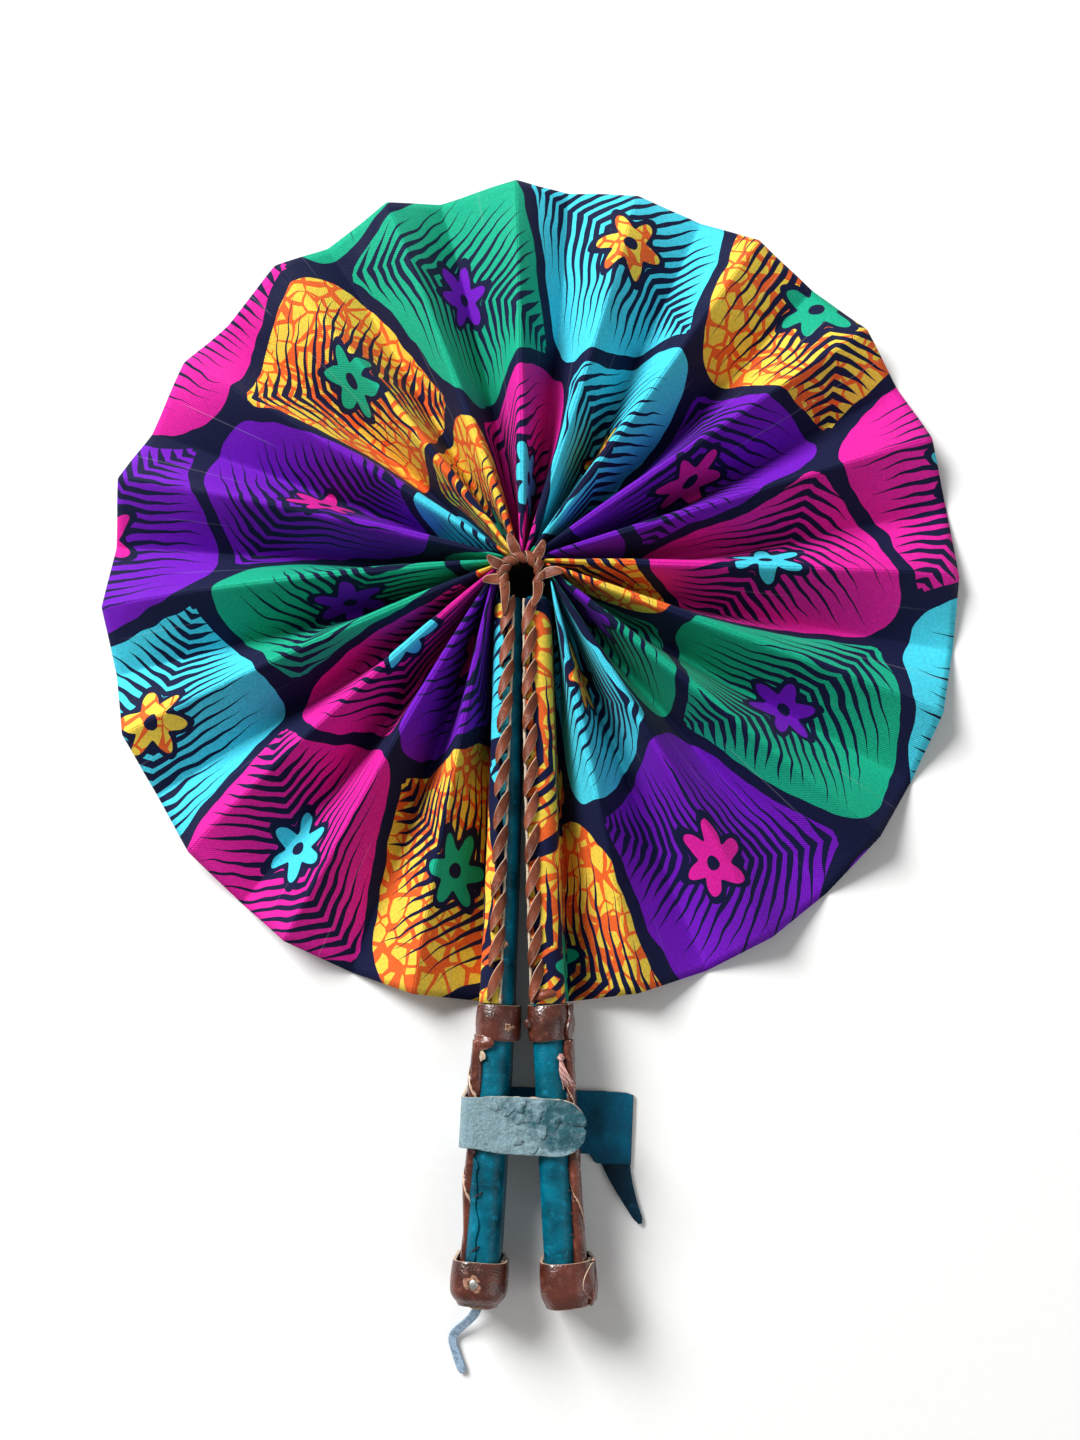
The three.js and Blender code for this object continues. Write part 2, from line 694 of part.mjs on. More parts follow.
function addLeftTrim() {
  addPart('left_cap_nail', capNail(), COLOURS.nailSteel, fan, STEEL_ROUGHNESS, 1);
  addPart('left_thong', thong(), COLOURS.thongLeather);
}

function addRightTrim() {
  const tabOuter = GRIP_WIDTH / 2 - GAP;
  addPart('right_collar_tab', bandTab(1, COLLAR_TOP + GAP, COLLAR_END - GAP, tabOuter), COLOURS.brownLeather);
  const knobD = COLLAR_TOP + COLLAR_HEIGHT / 2;
  const knob = bead(1, knobD, -KNOB_INSET, BAND_FRONT, KNOB_DIAMETER, KNOB_DIAMETER);
  addPart('right_collar_knob', knob, COLOURS.brownLeather);
  const capTab = bandTab(1, CAP_TOP + GAP, CAP_END - GAP, tabOuter + PIPING_DIAMETER);
  addPart('right_cap_tab', capTab, COLOURS.brownLeather);
  const knotD = COLLAR_END + KNOT_FROM_COLLAR;
  const knot = bead(1, knotD, KNOT_OFFSET, STICK_FRONT, KNOT_LENGTH, KNOT_DIAMETER);
  addPart('right_thread_knot', knot, COLOURS.thread);
}

function addStrap() {
  const strap = new THREE.Group();
  strap.position.set(RIVET_POINT.x, RIVET_POINT.y, 0);
  strap.rotation.z = -Math.atan(stickSlope(STRAP_AT));
  fan.add(strap);
  addPart('strap_back', strapBack(), COLOURS.strapLeather, strap);
  addPart('strap_bend', strapBend(), COLOURS.suede, strap);
  const rivet = post(0, 0, STRAP_BACK, RIVET_END, RIVET_DIAMETER / 2);
  addPart('strap_rivet', rivet, COLOURS.nailSteel, strap, STEEL_ROUGHNESS, 1);
  const flap = addPart('strap_flap', strapFlap(), COLOURS.suede, strap);
  flap.userData.pivot = [BEND_START + GAP / 2, 0, STRAP_FRONT + PIVOT_LIFT];
  const tail = addPart('strap_tail', strapTail(), COLOURS.strapLeather, strap);
  const tailFold = -STRAP_WIDTH / 2 - STRAP_FLARE - GAP / 2;
  tail.userData.pivot = [STRAP_REACH, tailFold, STRAP_BACK + STRAP_LEATHER + PIVOT_LIFT];
}

const leftHoles = [nailHole(), rivetHole()];
addStick(-1, 'left', { stick: leftHoles, wrap: leftHoles, end_cap: [nailHole()] });
addStick(1, 'right', {});
addLeftTrim();
addRightTrim();
addStrap();
addPleats();
const hub = addPart('hub_lace', hubLace(), COLOURS.brownLeather);
printSelfGap(hub, HUB_STEPS);

// The origin is the middle of the fan's underside
const box = new THREE.Box3().setFromObject(fan);
const middle = box.getCenter(new THREE.Vector3());
fan.position.set(-middle.x, -middle.y, -box.min.z);

export default fan;
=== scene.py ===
# Looks of a pleated cotton hand fan with two leather-covered sticks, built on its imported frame.
# Constants are in millimetres, and places are measured from the hub's axis. Blender's own lengths are metres.
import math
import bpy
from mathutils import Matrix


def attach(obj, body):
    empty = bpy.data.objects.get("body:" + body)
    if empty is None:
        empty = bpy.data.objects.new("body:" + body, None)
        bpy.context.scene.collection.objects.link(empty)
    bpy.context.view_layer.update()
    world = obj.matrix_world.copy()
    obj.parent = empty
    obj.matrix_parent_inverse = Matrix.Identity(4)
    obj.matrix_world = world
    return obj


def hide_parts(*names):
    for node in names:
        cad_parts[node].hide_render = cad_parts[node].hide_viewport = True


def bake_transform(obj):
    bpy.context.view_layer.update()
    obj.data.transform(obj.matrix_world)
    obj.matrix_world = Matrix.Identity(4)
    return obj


bl_info = {
    "name": "Folding hand fan",
    "version": (1, 0, 0),
    "blender": (4, 5, 0),
    "location": "View3D > Sidebar > Fan",
    "description": "Builds the cloth, leather and lacing of a folding hand fan on its frame",
    "category": "Object",
}

import bmesh
import bpy
import numpy as np
from bpy.props import FloatProperty, FloatVectorProperty, IntProperty, PointerProperty
from mathutils import Matrix, Vector, noise

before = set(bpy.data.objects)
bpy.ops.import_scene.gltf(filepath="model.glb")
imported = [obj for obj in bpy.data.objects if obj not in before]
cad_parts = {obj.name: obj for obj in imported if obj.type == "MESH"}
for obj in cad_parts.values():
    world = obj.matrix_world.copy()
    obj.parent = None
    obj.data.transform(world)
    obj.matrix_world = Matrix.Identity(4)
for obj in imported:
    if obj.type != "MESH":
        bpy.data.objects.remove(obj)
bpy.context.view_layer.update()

MM = 0.001
HUB_Y = 57.222
UP = Vector((0, 0, 1))

# Leaf, as in the solids
PLEATS = 19
FOLDS = 2 * PLEATS
LEAF_RADIUS = 150.0
RIM_EASE = 5.0
RIM_SLOPE = math.radians(22)
CLOTH_GAP = 0.3
CLOTH_SOLID = 0.7
HUB_DROP = 2.7

# Sticks, measured along the fan from the hub's axis
STICK_TOP = 9.0
STICK_TOP_WIDTH = 8.4
GRIP_WIDTH = 10.2
STICK_CORNER = 4.6
STICK_GAP = 0.6
FOOT_SPLAY = 7.7
LEAF_EDGE = LEAF_RADIUS - RIM_EASE
COLLAR_TOP = 145.6
COLLAR_END = 156.8
CAP_TOP = 225.4
CAP_END = 239.0
STICK_END = 239.7
STICK_BASE = 1.7
STICK_FRONT = 21.7
BAND_FRONT = 23.4

# Lacing on the sticks, and its shift across each stick at the top and lower down
COIL_U = 2.1
COIL_FLAT = 1.1
COIL_REACH = 2.65
LACE_EDGE = 0.75
LACE_Z = 22.8
LACE_SHIFT = {-1: (1.0, 2.1), 1: (-1.3, -1.3)}
STICK_LACE_SEEN = 0.95
STICK_LACE_THICK = 0.9

# Hems on the sticks, and the cloth tucked in at the hub
HEM_ROWS = 45
HEM_CURVE = 4.4
HEM_INSET = 1.5
HEM_PUFF = 0.25

# Hub ring and its lace
HUB_COIL = 2.2
HUB_LACE_Z = 24.75
HUB_LACE_TOP = 26.6
HUB_LACE_SEEN = 0.72
HUB_LACE_WIDTH = 2.7
HUB_LACE_THICK = 0.8
HUB_RING = 6.5
HUB_RING_COIL = 1.85

# Strap, its flap and its tail
STRAP_AT = 182.8
STRAP_LEATHER = 1.3
STRAP_BACK = 0.1 + STRAP_LEATHER / 2
STRAP_FRONT = STICK_FRONT + CLOTH_GAP + STRAP_LEATHER / 2
STRAP_WIDTH = 20.4
STRAP_REACH = 45.5
STRAP_FLARE = 2.8
STRAP_FLARE_WIDTH = 11.5
FLAP_REACH = 30.7
FLAP_NOSE = 9.0
NOSE_PULL = 8.0
FLAP_DRAW = 1.3
BEND_DRAW = 2.3
BEND_RADIUS = 2.65
BEND_START = -6.7
TAIL_LENGTH = 18.0
TAIL_LEAN = 5.0
TAIL_TIP = 2.4

# Bands and piping: the turn at which the bands start, the turns and thickness of each, and a cap's lip
PIPING = 3.0
PIPING_TWIST = 32.0
BAND_START = {-1: 0.4, 1: 0.02}
COLLAR_TURNS = 1.12
COLLAR_THICK = 1.0
CAP_TURNS = 1.1
CAP_THICK = 1.1
CAP_LIP = {-1: 2.4, 1: 1.2}

# Nail and threads
NAIL_AT = (CAP_TOP + CAP_END) / 2 - 0.4
NAIL_ACROSS = 2.1
STITCH_RADIUS = 0.26
THREAD_RADIUS = 0.22
THREAD_ENDS = 9

# Route of the thong: place across the stick, past its foot, and height
THONG_ROUTE = (
    (1.5, 0.2, 6), (2.3, 3.5, 5.6), (4.6, 7.0, 3.8), (8.8, 11.4, 1.6), (9.8, 14.0, 1.1), (8.4, 18, 0.9),
    (5.6, 24, 0.9),
)

# Bodies from the left stick round to the right one, and the two sides
CHAIN = ["left_handle", *(f"pleat_{i:02d}" for i in range(1, PLEATS + 1)), "right_handle"]
SIDES = ((-1, "left"), (1, "right"))


# Colours and scales
def linear(code):
    """Linear colour of an sRGB hex value."""
    parts = [int(code[i:i + 2], 16) / 255 for i in (1, 3, 5)]
    return [c / 12.92 if c <= 0.04045 else ((c + 0.055) / 1.055) ** 2.4 for c in parts]


def opaque(colour):
    """Colour with a full alpha."""
    return [*colour[:3], 1.0]


def per_metre(size):
    """Texture scale on metre coordinates for a pattern of this size in millimetres."""
    return 1000.0 / size


# Shares, routes and noise
def shares(count):
    """Evenly spread values from 0 to 1."""
    return [k / (count - 1) for k in range(count)]


def round_angles(count):
    """Evenly spread angles round a whole turn."""
    return [2 * math.pi * c / count for c in range(count)]


def between(low, high, share):
    """Value at a share of the way from one to the other."""
    return low + (high - low) * share


def step(low, high, x):
    """Smooth step from 0 to 1."""
    t = min(max((x - low) / (high - low), 0), 1)
    return t * t * (3 - 2 * t)


def blunt(x):
    """Cosine or sine of a squarish oval."""
    return math.copysign(abs(x) ** 0.7, x)


def wander(seed, *at):
    """Steady noise between -1 and 1."""
    return noise.noise(Vector((*at, 0, 0)[:2] + (seed * 7.31,)))


def directions(points, k):
    """Directions along a route at one of its points, and level across it."""
    along = (points[min(k + 1, len(points) - 1)] - points[max(k - 1, 0)]).normalized()
    return along, along.cross(UP).normalized()


def smooth_route(points, count):
    """Points spread along a smooth curve through the given ones."""
    ways = [Vector(p) for p in points]
    result = []
    for k in range(count):
        at = k / (count - 1) * (len(ways) - 1)
        i = min(int(at), len(ways) - 2)
        p0, p1, p2, p3 = (ways[max(0, min(j, len(ways) - 1))] for j in range(i - 1, i + 3))
        t = at - i
        result.append(0.5 * (
            2 * p1 + (p2 - p0) * t + (2 * p0 - 5 * p1 + 4 * p2 - p3) * t ** 2
            + (3 * p1 - p0 - 3 * p2 + p3) * t ** 3
        ))
    return result


# Points on the sticks and the leaf
def half_width(d):
    """Half the width of a covered stick, d millimetres down from the hub."""
    share = min(d / COLLAR_TOP, 1)
    return (STICK_TOP_WIDTH + (GRIP_WIDTH - STICK_TOP_WIDTH) * share) / 2


def inner_edge(d):
    """How far a stick's inner side stands from the fan's middle line."""
    return STICK_GAP / 2 + FOOT_SPLAY * (d / STICK_END) ** 2


def stick_centre(d):
    """How far a stick's middle stands from the fan's middle line."""
    return inner_edge(d) + half_width(d)


def stick_slope(d):
    """How fast a stick moves outwards on its way down."""
    return (stick_centre(d + 1) - stick_centre(d - 1)) / 2


def on_stick(side, d, u, z):
    """Point across a stick in metres: u outwards from its centre, z up."""
    outward = Vector((side, stick_slope(d), 0)).normalized()
    return (Vector((side * stick_centre(d), HUB_Y - d, z)) + outward * u) * MM


def stick_round(d, share, extra=0.0):
    """Point and outward direction on a covered stick's outline, counter-clockwise from its outer side."""
    w = half_width(d)
    r = min(STICK_CORNER, w - 0.2)
    middle = (STICK_BASE + STICK_FRONT) / 2
    corners = (
        (w + extra - r, STICK_FRONT - r, 0),
        (r - w, STICK_FRONT - r, 90),
        (r - w, STICK_BASE + r, 180),
        (w + extra - r, STICK_BASE + r, 270),
    )
    arc = r * math.pi / 2
    tall = STICK_FRONT - STICK_BASE - 2 * r
    wide = 2 * (w - r) + extra
    runs = (tall / 2, arc, wide, arc, tall, arc, wide, arc, tall / 2)
    left = (share % 1.0) * sum(runs)
    part = 0
    while part < len(runs) - 1 and left > runs[part]:
        left -= runs[part]
        part += 1
    if part % 2 == 1:
        u, z, start = corners[part // 2]
        angle = math.radians(start) + left / r
        way = (math.cos(angle), math.sin(angle))
        return (u + r * way[0], z + r * way[1]), way
    lines = {
        0: ((w + extra, middle + left), (1, 0)),
        2: ((w + extra - r - left, STICK_FRONT), (0, 1)),
        4: ((-w, STICK_FRONT - r - left), (-1, 0)),
        6: ((r - w + left, STICK_BASE), (0, -1)),
        8: ((w + extra, STICK_BASE + r + left), (1, 0)),
    }
    return lines[part]


def round_stick(side, d, share, margin, extra=0.0):
    """Point in metres that stands off a covered stick by a margin."""
    (u, z), way = stick_round(d, share, extra)
    return on_stick(side, d, u + way[0] * margin, z + way[1] * margin)


def lace_centre(side, d):
    """Place of a stick's lacing across the stick."""
    top, low = LACE_SHIFT[side]
    return LACE_EDGE + COIL_REACH - half_width(d) + top + (low - top) * step(10, 80, d)


def leaf_offset(d):
    """How far the leaf's end stands from the fan's middle line."""
    return inner_edge(d) + 2 * half_width(d) + 1.5 * CLOTH_GAP + CLOTH_SOLID


# Hub ring, rim, pleats and lacing, worked out from the sizes above
RING_START = math.pi + math.atan2(STICK_TOP - HUB_DROP, leaf_offset(STICK_TOP))
RING_RADIUS = math.hypot(leaf_offset(STICK_TOP), STICK_TOP - HUB_DROP)
RIM_START = math.pi + math.atan2(LEAF_EDGE, leaf_offset(LEAF_EDGE))
RIM_START_RADIUS = math.hypot(leaf_offset(LEAF_EDGE), LEAF_EDGE)
HUB_LACE_RADIUS = RING_RADIUS - 0.45 - HUB_COIL - 0.55
RIM_TURN = math.pi - 2 * RIM_START
PLEAT_FACE = 2 * LEAF_RADIUS * math.sin(-RIM_TURN / FOLDS / 2) / math.cos(RIM_SLOPE)
LEAF_LENGTH = LEAF_RADIUS - RING_RADIUS
LACING_TOP = HUB_DROP - HUB_LACE_RADIUS * math.sin(RING_START) + HUB_COIL + 0.55 + 1.8
LACING_END = LEAF_EDGE - 1.5
WELT_TOP = LACING_TOP - 1.5
LACE_TOP = LACING_TOP - 1.2

# Shares of the leaf's length that is tucked in at the hub, and of its turn by which the folds lean and vary
FUNNEL = 0.078
LEAF_LEAN = 0.006
LEAF_UNEVEN = 0.007

# Middle of the hub ring, in metres
HUB_MIDDLE = Vector((0, HUB_Y - HUB_DROP, 0)) * MM


# Scene helpers
def fill(tree, node, values):
    """Set a node's inputs, or link them where the value is another node or its output."""
    for key, value in values.items():
        source = value.outputs[0] if isinstance(value, bpy.types.Node) else value
        if isinstance(source, bpy.types.NodeSocket):
            tree.links.new(source, node.inputs[key])
        else:
            node.inputs[key].default_value = source


def add(tree, kind, *inputs, sockets=None, **settings):
    """Add a node, set its properties, and fill its inputs in order or by their names or numbers."""
    node = tree.nodes.new(kind)
    for key, value in settings.items():
        setattr(node, key, value)
    fill(tree, node, {**dict(enumerate(inputs)), **(sockets or {})})
    return node


def place(name, mesh, *materials):
    """Object of a mesh in the scene, smooth shaded, with its materials."""
    piece = bpy.data.objects.new(name, mesh)
    bpy.context.scene.collection.objects.link(piece)
    for material in materials:
        mesh.materials.append(material)
    mesh.shade_smooth()
    return piece


def surface(name, rows, *materials, around=False, capped=False, flat=None):
    """Piece through rows of points, each row closed or not. flat gives each point's place on flat cloth."""
    points = np.array([[tuple(p) for p in row] for row in rows], float)
    count, width = points.shape[:2]
    columns = width if around else width - 1
    faces = []
    corners = []
    for r in range(count - 1):
        for c in range(columns):
            n = (c + 1) % width
            faces.append((r * width + c, r * width + n, (r + 1) * width + n, (r + 1) * width + c))
            corners += [(r, c), (r, c + 1), (r + 1, c + 1), (r + 1, c)]
    if capped:
        faces.append(tuple(range(width))[::-1])
        faces.append(tuple(range((count - 1) * width, count * width)))
        corners += [(0, c) for c in range(width)][::-1]
        corners += [(count - 1, c) for c in range(width)]
    mesh = bpy.data.meshes.new(name)
    mesh.from_pydata(points.reshape(-1, 3).tolist(), [], faces)
    if flat is not None:
        layer = mesh.uv_layers.new(name="cloth")
        layer.data.foreach_set("uv", np.array([flat[r][c] for r, c in corners], np.float32).ravel())
    if around:
        form = bmesh.new()
        form.from_mesh(mesh)
        bmesh.ops.recalc_face_normals(form, faces=form.faces)
        form.to_mesh(mesh)
        form.free()
    return place(name, mesh, *materials)


def thicken(piece, thickness, edge=0, back=0, bevel=0.0):
    """Give a sheet its thickness in millimetres. edge and back count material slots on from the front's."""
    wall = piece.modifiers.new("thickness", "SOLIDIFY")
    wall.thickness = thickness * MM
    wall.offset = 0
    wall.material_offset = back
    wall.material_offset_rim = edge
    if bevel:
        soft = piece.modifiers.new("soft edge", "BEVEL")
        soft.width = bevel * MM
        soft.segments = 2
        soft.limit_method = "ANGLE"
    return piece


def mark(piece, name, values):
    """Give each point a value that a material reads: rim for a cut edge, stain for dye that came through."""
    piece.data.attributes.new(name, "FLOAT", "POINT").data.foreach_set("value", values)


def resurface(node, material):
    """Give a CAD node that stays in the scene its material."""
    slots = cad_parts[node].data.materials
    slots.clear()
    slots.append(material)


def carried(piece, body, slot, *nodes):
    """Piece that moves with a body and stands for CAD nodes. The slot is not used."""
    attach(piece, body)
    if nodes:
        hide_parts(*nodes)


def bent(piece):
    """Piece with its transform baked into its mesh."""
    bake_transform(piece)


def tube(name, points, radius, material):
    """Closed round thread along points, its radius in millimetres."""
    rows = []
    for k, point in enumerate(points):
        along, across = directions(points, k)
        lift = across.cross(along)
        rows.append([
            point + (across * math.cos(a) + lift * math.sin(a)) * radius * MM for a in round_angles(8)
        ])
    return surface(name, rows, material, around=True, capped=True)


# Geometry Nodes
def geometry_tree(name, inputs):
    """Empty geometry tree with named inputs, and its input node."""
    kinds = {float: "NodeSocketFloat", int: "NodeSocketInt", bpy.types.Material: "NodeSocketMaterial"}
    tree = bpy.data.node_groups.new(name, "GeometryNodeTree")
    tree.interface.new_socket("Geometry", in_out="INPUT", socket_type="NodeSocketGeometry")
    for label, kind in inputs.items():
        tree.interface.new_socket(label, in_out="INPUT", socket_type=kinds[kind])
    tree.interface.new_socket("Geometry", in_out="OUTPUT", socket_type="NodeSocketGeometry")
    return tree, tree.nodes.new("NodeGroupInput").outputs


def grow(name, tree, values, base=None):
    """Plain mesh piece from a geometry tree, its inputs set by identifier."""
    piece = bpy.data.objects.new(name, base or bpy.data.meshes.new(name))
    bpy.context.scene.collection.objects.link(piece)
    modifier = piece.modifiers.new("form", "NODES")
    modifier.node_group = tree
    for item in tree.interface.items_tree:
        if item.in_out == "INPUT" and item.name in values:
            modifier[item.identifier] = values[item.name]
    depsgraph = bpy.context.evaluated_depsgraph_get()
    made = bpy.data.meshes.new_from_object(
        piece.evaluated_get(depsgraph), preserve_all_data_layers=True, depsgraph=depsgraph
    )
    piece.modifiers.remove(modifier)
    piece.data = made
    made.name = name
    made.shade_smooth()
    return piece


def leaf_point_group():
    """Node group that gives a fold's place on the leaf, seen from above, at a share of the way to the rim."""
    group = bpy.data.node_groups.new("leaf point", "GeometryNodeTree")
    for label in ("Fold", "Along", "Lean", "Uneven"):
        group.interface.new_socket(label, in_out="INPUT", socket_type="NodeSocketFloat")
    group.interface.new_socket("Point", in_out="OUTPUT", socket_type="NodeSocketVector")
    given = group.nodes.new("NodeGroupInput").outputs
    even = add(group, "ShaderNodeMath", given["Fold"], FOLDS, operation="DIVIDE")
    half_turn = add(group, "ShaderNodeMath", even, math.pi, operation="MULTIPLY")
    crown = add(group, "ShaderNodeMath", half_turn, operation="SINE")
    chance = add(group, "ShaderNodeTexWhiteNoise", sockets={"W": given["Fold"]}, noise_dimensions="1D")
    chance_middle = add(group, "ShaderNodeMath", chance.outputs["Value"], 0.5, operation="SUBTRACT")
    uneven = add(group, "ShaderNodeMath", chance_middle, given["Uneven"], operation="MULTIPLY")
    swing = add(group, "ShaderNodeMath", uneven, given["Lean"], operation="SUBTRACT")
    held = add(group, "ShaderNodeMath", swing, crown, operation="MULTIPLY")
    outer = add(group, "ShaderNodeMath", held, given["Along"], operation="MULTIPLY")
    t = add(group, "ShaderNodeMath", even, outer, operation="ADD")
    ease_base = add(group, "ShaderNodeMath", 1.0, crown, operation="SUBTRACT")
    ease = add(group, "ShaderNodeMath", ease_base, 4.0, operation="POWER")
    rim = add(
        group, "ShaderNodeMath", ease, (RIM_START_RADIUS - LEAF_RADIUS) * MM, LEAF_RADIUS * MM,
        operation="MULTIPLY_ADD",
    )
    ends = []
    for start, radius, drop in ((RING_START, RING_RADIUS * MM, -HUB_DROP * MM), (RIM_START, rim, 0.0)):
        angle = add(group, "ShaderNodeMath", t, math.pi - 2 * start, start, operation="MULTIPLY_ADD")
        cosine = add(group, "ShaderNodeMath", angle, operation="COSINE")
        sine = add(group, "ShaderNodeMath", angle, operation="SINE")
        x = add(group, "ShaderNodeMath", cosine, radius, operation="MULTIPLY")
        y = add(group, "ShaderNodeMath", sine, radius, drop, operation="MULTIPLY_ADD")
        ends.append(add(group, "ShaderNodeCombineXYZ", x, y))
    point = add(
        group, "ShaderNodeMix", given["Along"], sockets={4: ends[0], 5: ends[1]},
        data_type="VECTOR", clamp_factor=False,
    )
    add(group, "NodeGroupOutput", point.outputs[1])
    return group


def leaf_tree():
    """Tree that folds a flat grid of cloth into the stretch of the leaf between two ridges."""
    tree, given = geometry_tree("pleated cloth", {
        "First Fold": float, "Folds": float, "Columns": int, "Rows": int, "Face": float,
        "Roundness": float, "Tubes": float, "Funnel": float, "Slack": float, "Lean": float,
        "Uneven": float, "Cloth": bpy.types.Material,
    })
    group = leaf_point_group()
    gather, steepness, swell_size, funnel_top, funnel_height = 0.7, 15.0, 34, -0.02, 0.06
    grid = add(tree, "GeometryNodeMeshGrid", 1.0, 1.0, given["Columns"], given["Rows"])
    spot = add(tree, "ShaderNodeSeparateXYZ", add(tree, "GeometryNodeInputPosition"))
    across = add(tree, "ShaderNodeMath", spot.outputs["X"], 0.5, operation="ADD")
    inward = add(tree, "ShaderNodeMath", 0.0, given["Funnel"], operation="SUBTRACT")
    along = add(tree, "ShaderNodeMapRange", spot.outputs["Y"], -0.5, 0.5, inward, 1.0)
    line = add(
        tree, "ShaderNodeMath", across, given["Folds"], given["First Fold"], operation="MULTIPLY_ADD"
    )
    whole = add(tree, "ShaderNodeMath", line, operation="FLOOR")
    part = add(tree, "ShaderNodeMath", line, whole, operation="SUBTRACT")
    gathered = add(tree, "ShaderNodeMapRange", part, interpolation_type="SMOOTHSTEP")
    closer = add(tree, "ShaderNodeMix", gather, sockets={2: part, 3: gathered})
    fold = add(tree, "ShaderNodeMath", whole, closer, operation="ADD")

    # Nearest ridge, and how far across the face from it
    pair = add(tree, "ShaderNodeMath", fold, 0.5, operation="MULTIPLY")
    pair_floor = add(tree, "ShaderNodeMath", pair, operation="FLOOR")
    ridge = add(tree, "ShaderNodeMath", pair_floor, 2.0, 1.0, operation="MULTIPLY_ADD")
    offset = add(tree, "ShaderNodeMath", fold, ridge, operation="SUBTRACT")
    share = add(tree, "ShaderNodeMath", offset, operation="ABSOLUTE")
    after = add(tree, "ShaderNodeMath", fold, ridge, operation="GREATER_THAN")

    # Inside the hub ring the folds sink to the middle, so that the hub is a dark funnel
    inner = add(tree, "ShaderNodeMath", 1.0, along, operation="SUBTRACT")
    sink = add(
        tree, "ShaderNodeMapRange", along, inward, funnel_top, funnel_height, 1.0,
        interpolation_type="SMOOTHSTEP",
    )
    points = []
    for shift in (0.0, -1.0, 1.0):
        index = add(tree, "ShaderNodeMath", ridge, shift, operation="ADD")
        points.append(add(tree, "GeometryNodeGroup", node_tree=group, sockets={
            "Fold": index, "Along": along, "Lean": given["Lean"], "Uneven": given["Uneven"],
        }))
    top, before, behind = points
    first_reach = add(tree, "ShaderNodeVectorMath", top, before, operation="DISTANCE")
    second_reach = add(tree, "ShaderNodeVectorMath", top, behind, operation="DISTANCE")
    both = add(
        tree, "ShaderNodeMath", first_reach.outputs["Value"], second_reach.outputs["Value"], operation="ADD"
    )
    reach = add(tree, "ShaderNodeMath", both, 0.5, operation="MULTIPLY")
    face_squared = add(tree, "ShaderNodeMath", given["Face"], 2.0, operation="POWER")
    reach_squared = add(tree, "ShaderNodeMath", reach, 2.0, operation="POWER")
    rise = add(tree, "ShaderNodeMath", face_squared, reach_squared, operation="SUBTRACT")
    rise_held = add(tree, "ShaderNodeMath", rise, 0.0, operation="MAXIMUM")
    full_height = add(tree, "ShaderNodeMath", rise_held, operation="SQRT")
    height = add(tree, "ShaderNodeMath", full_height, sink, operation="MULTIPLY")

    # Near the hub a fold is a round tube with steep walls, and further out it is a zigzag
    middle = add(tree, "ShaderNodeMath", share, 2.0, -1.0, operation="MULTIPLY_ADD")
    wall = add(tree, "ShaderNodeMath", middle, steepness, operation="POWER")
    tube_share = add(tree, "ShaderNodeMath", wall, 0.5, 0.5, operation="MULTIPLY_ADD")
    tube_power = add(tree, "ShaderNodeMath", inner, 3.0, operation="POWER")
    tubes = add(tree, "ShaderNodeMath", tube_power, given["Tubes"], operation="MULTIPLY")
    sideways = add(tree, "ShaderNodeMix", tubes, sockets={2: share, 3: tube_share})
    valley = add(tree, "ShaderNodeMix", after, sockets={4: before, 5: behind}, data_type="VECTOR")
    seen = add(
        tree, "ShaderNodeMix", sideways, sockets={4: top, 5: valley.outputs[1]}, data_type="VECTOR"
    )
    seen_parts = add(tree, "ShaderNodeSeparateXYZ", seen.outputs[1])

    # Ridges and valleys are rounded, and the faces swell a little
    soft = given["Roundness"]
    soft_squared = add(tree, "ShaderNodeMath", soft, 2.0, operation="POWER")
    ridge_curve = add(tree, "ShaderNodeMath", share, share, soft_squared, operation="MULTIPLY_ADD")
    ridge_soft = add(tree, "ShaderNodeMath", ridge_curve, operation="SQRT")
    down = add(tree, "ShaderNodeMath", 1.0, ridge_soft, operation="SUBTRACT")
    valley_curve = add(tree, "ShaderNodeMath", down, down, soft_squared, operation="MULTIPLY_ADD")
    profile = add(tree, "ShaderNodeMath", valley_curve, operation="SQRT")
    level = add(tree, "ShaderNodeMath", profile, soft, operation="SUBTRACT")
    lift = add(tree, "ShaderNodeMath", level, height, CLOTH_SOLID / 2 * MM, operation="MULTIPLY_ADD")
    strip = add(tree, "ShaderNodeMath", fold, given["Face"], operation="MULTIPLY")
    length = add(tree, "ShaderNodeMath", along, LEAF_LENGTH * MM, operation="MULTIPLY")
    flat = add(tree, "ShaderNodeCombineXYZ", strip, length)
    swell = add(
        tree, "ShaderNodeTexNoise", sockets={"Vector": flat, "Scale": per_metre(swell_size), "Detail": 1.0}
    )
    swell_middle = add(tree, "ShaderNodeMath", swell, 0.5, operation="SUBTRACT")
    rest = add(tree, "ShaderNodeMath", 1.0, share, operation="SUBTRACT")
    belly = add(tree, "ShaderNodeMath", rest, share, operation="MULTIPLY")
    swollen = add(tree, "ShaderNodeMath", swell_middle, belly, operation="MULTIPLY")
    z = add(tree, "ShaderNodeMath", swollen, given["Slack"], lift, operation="MULTIPLY_ADD")
    y = add(tree, "ShaderNodeMath", seen_parts.outputs["Y"], HUB_Y * MM, operation="ADD")
    position = add(tree, "ShaderNodeCombineXYZ", seen_parts.outputs["X"], y, z)

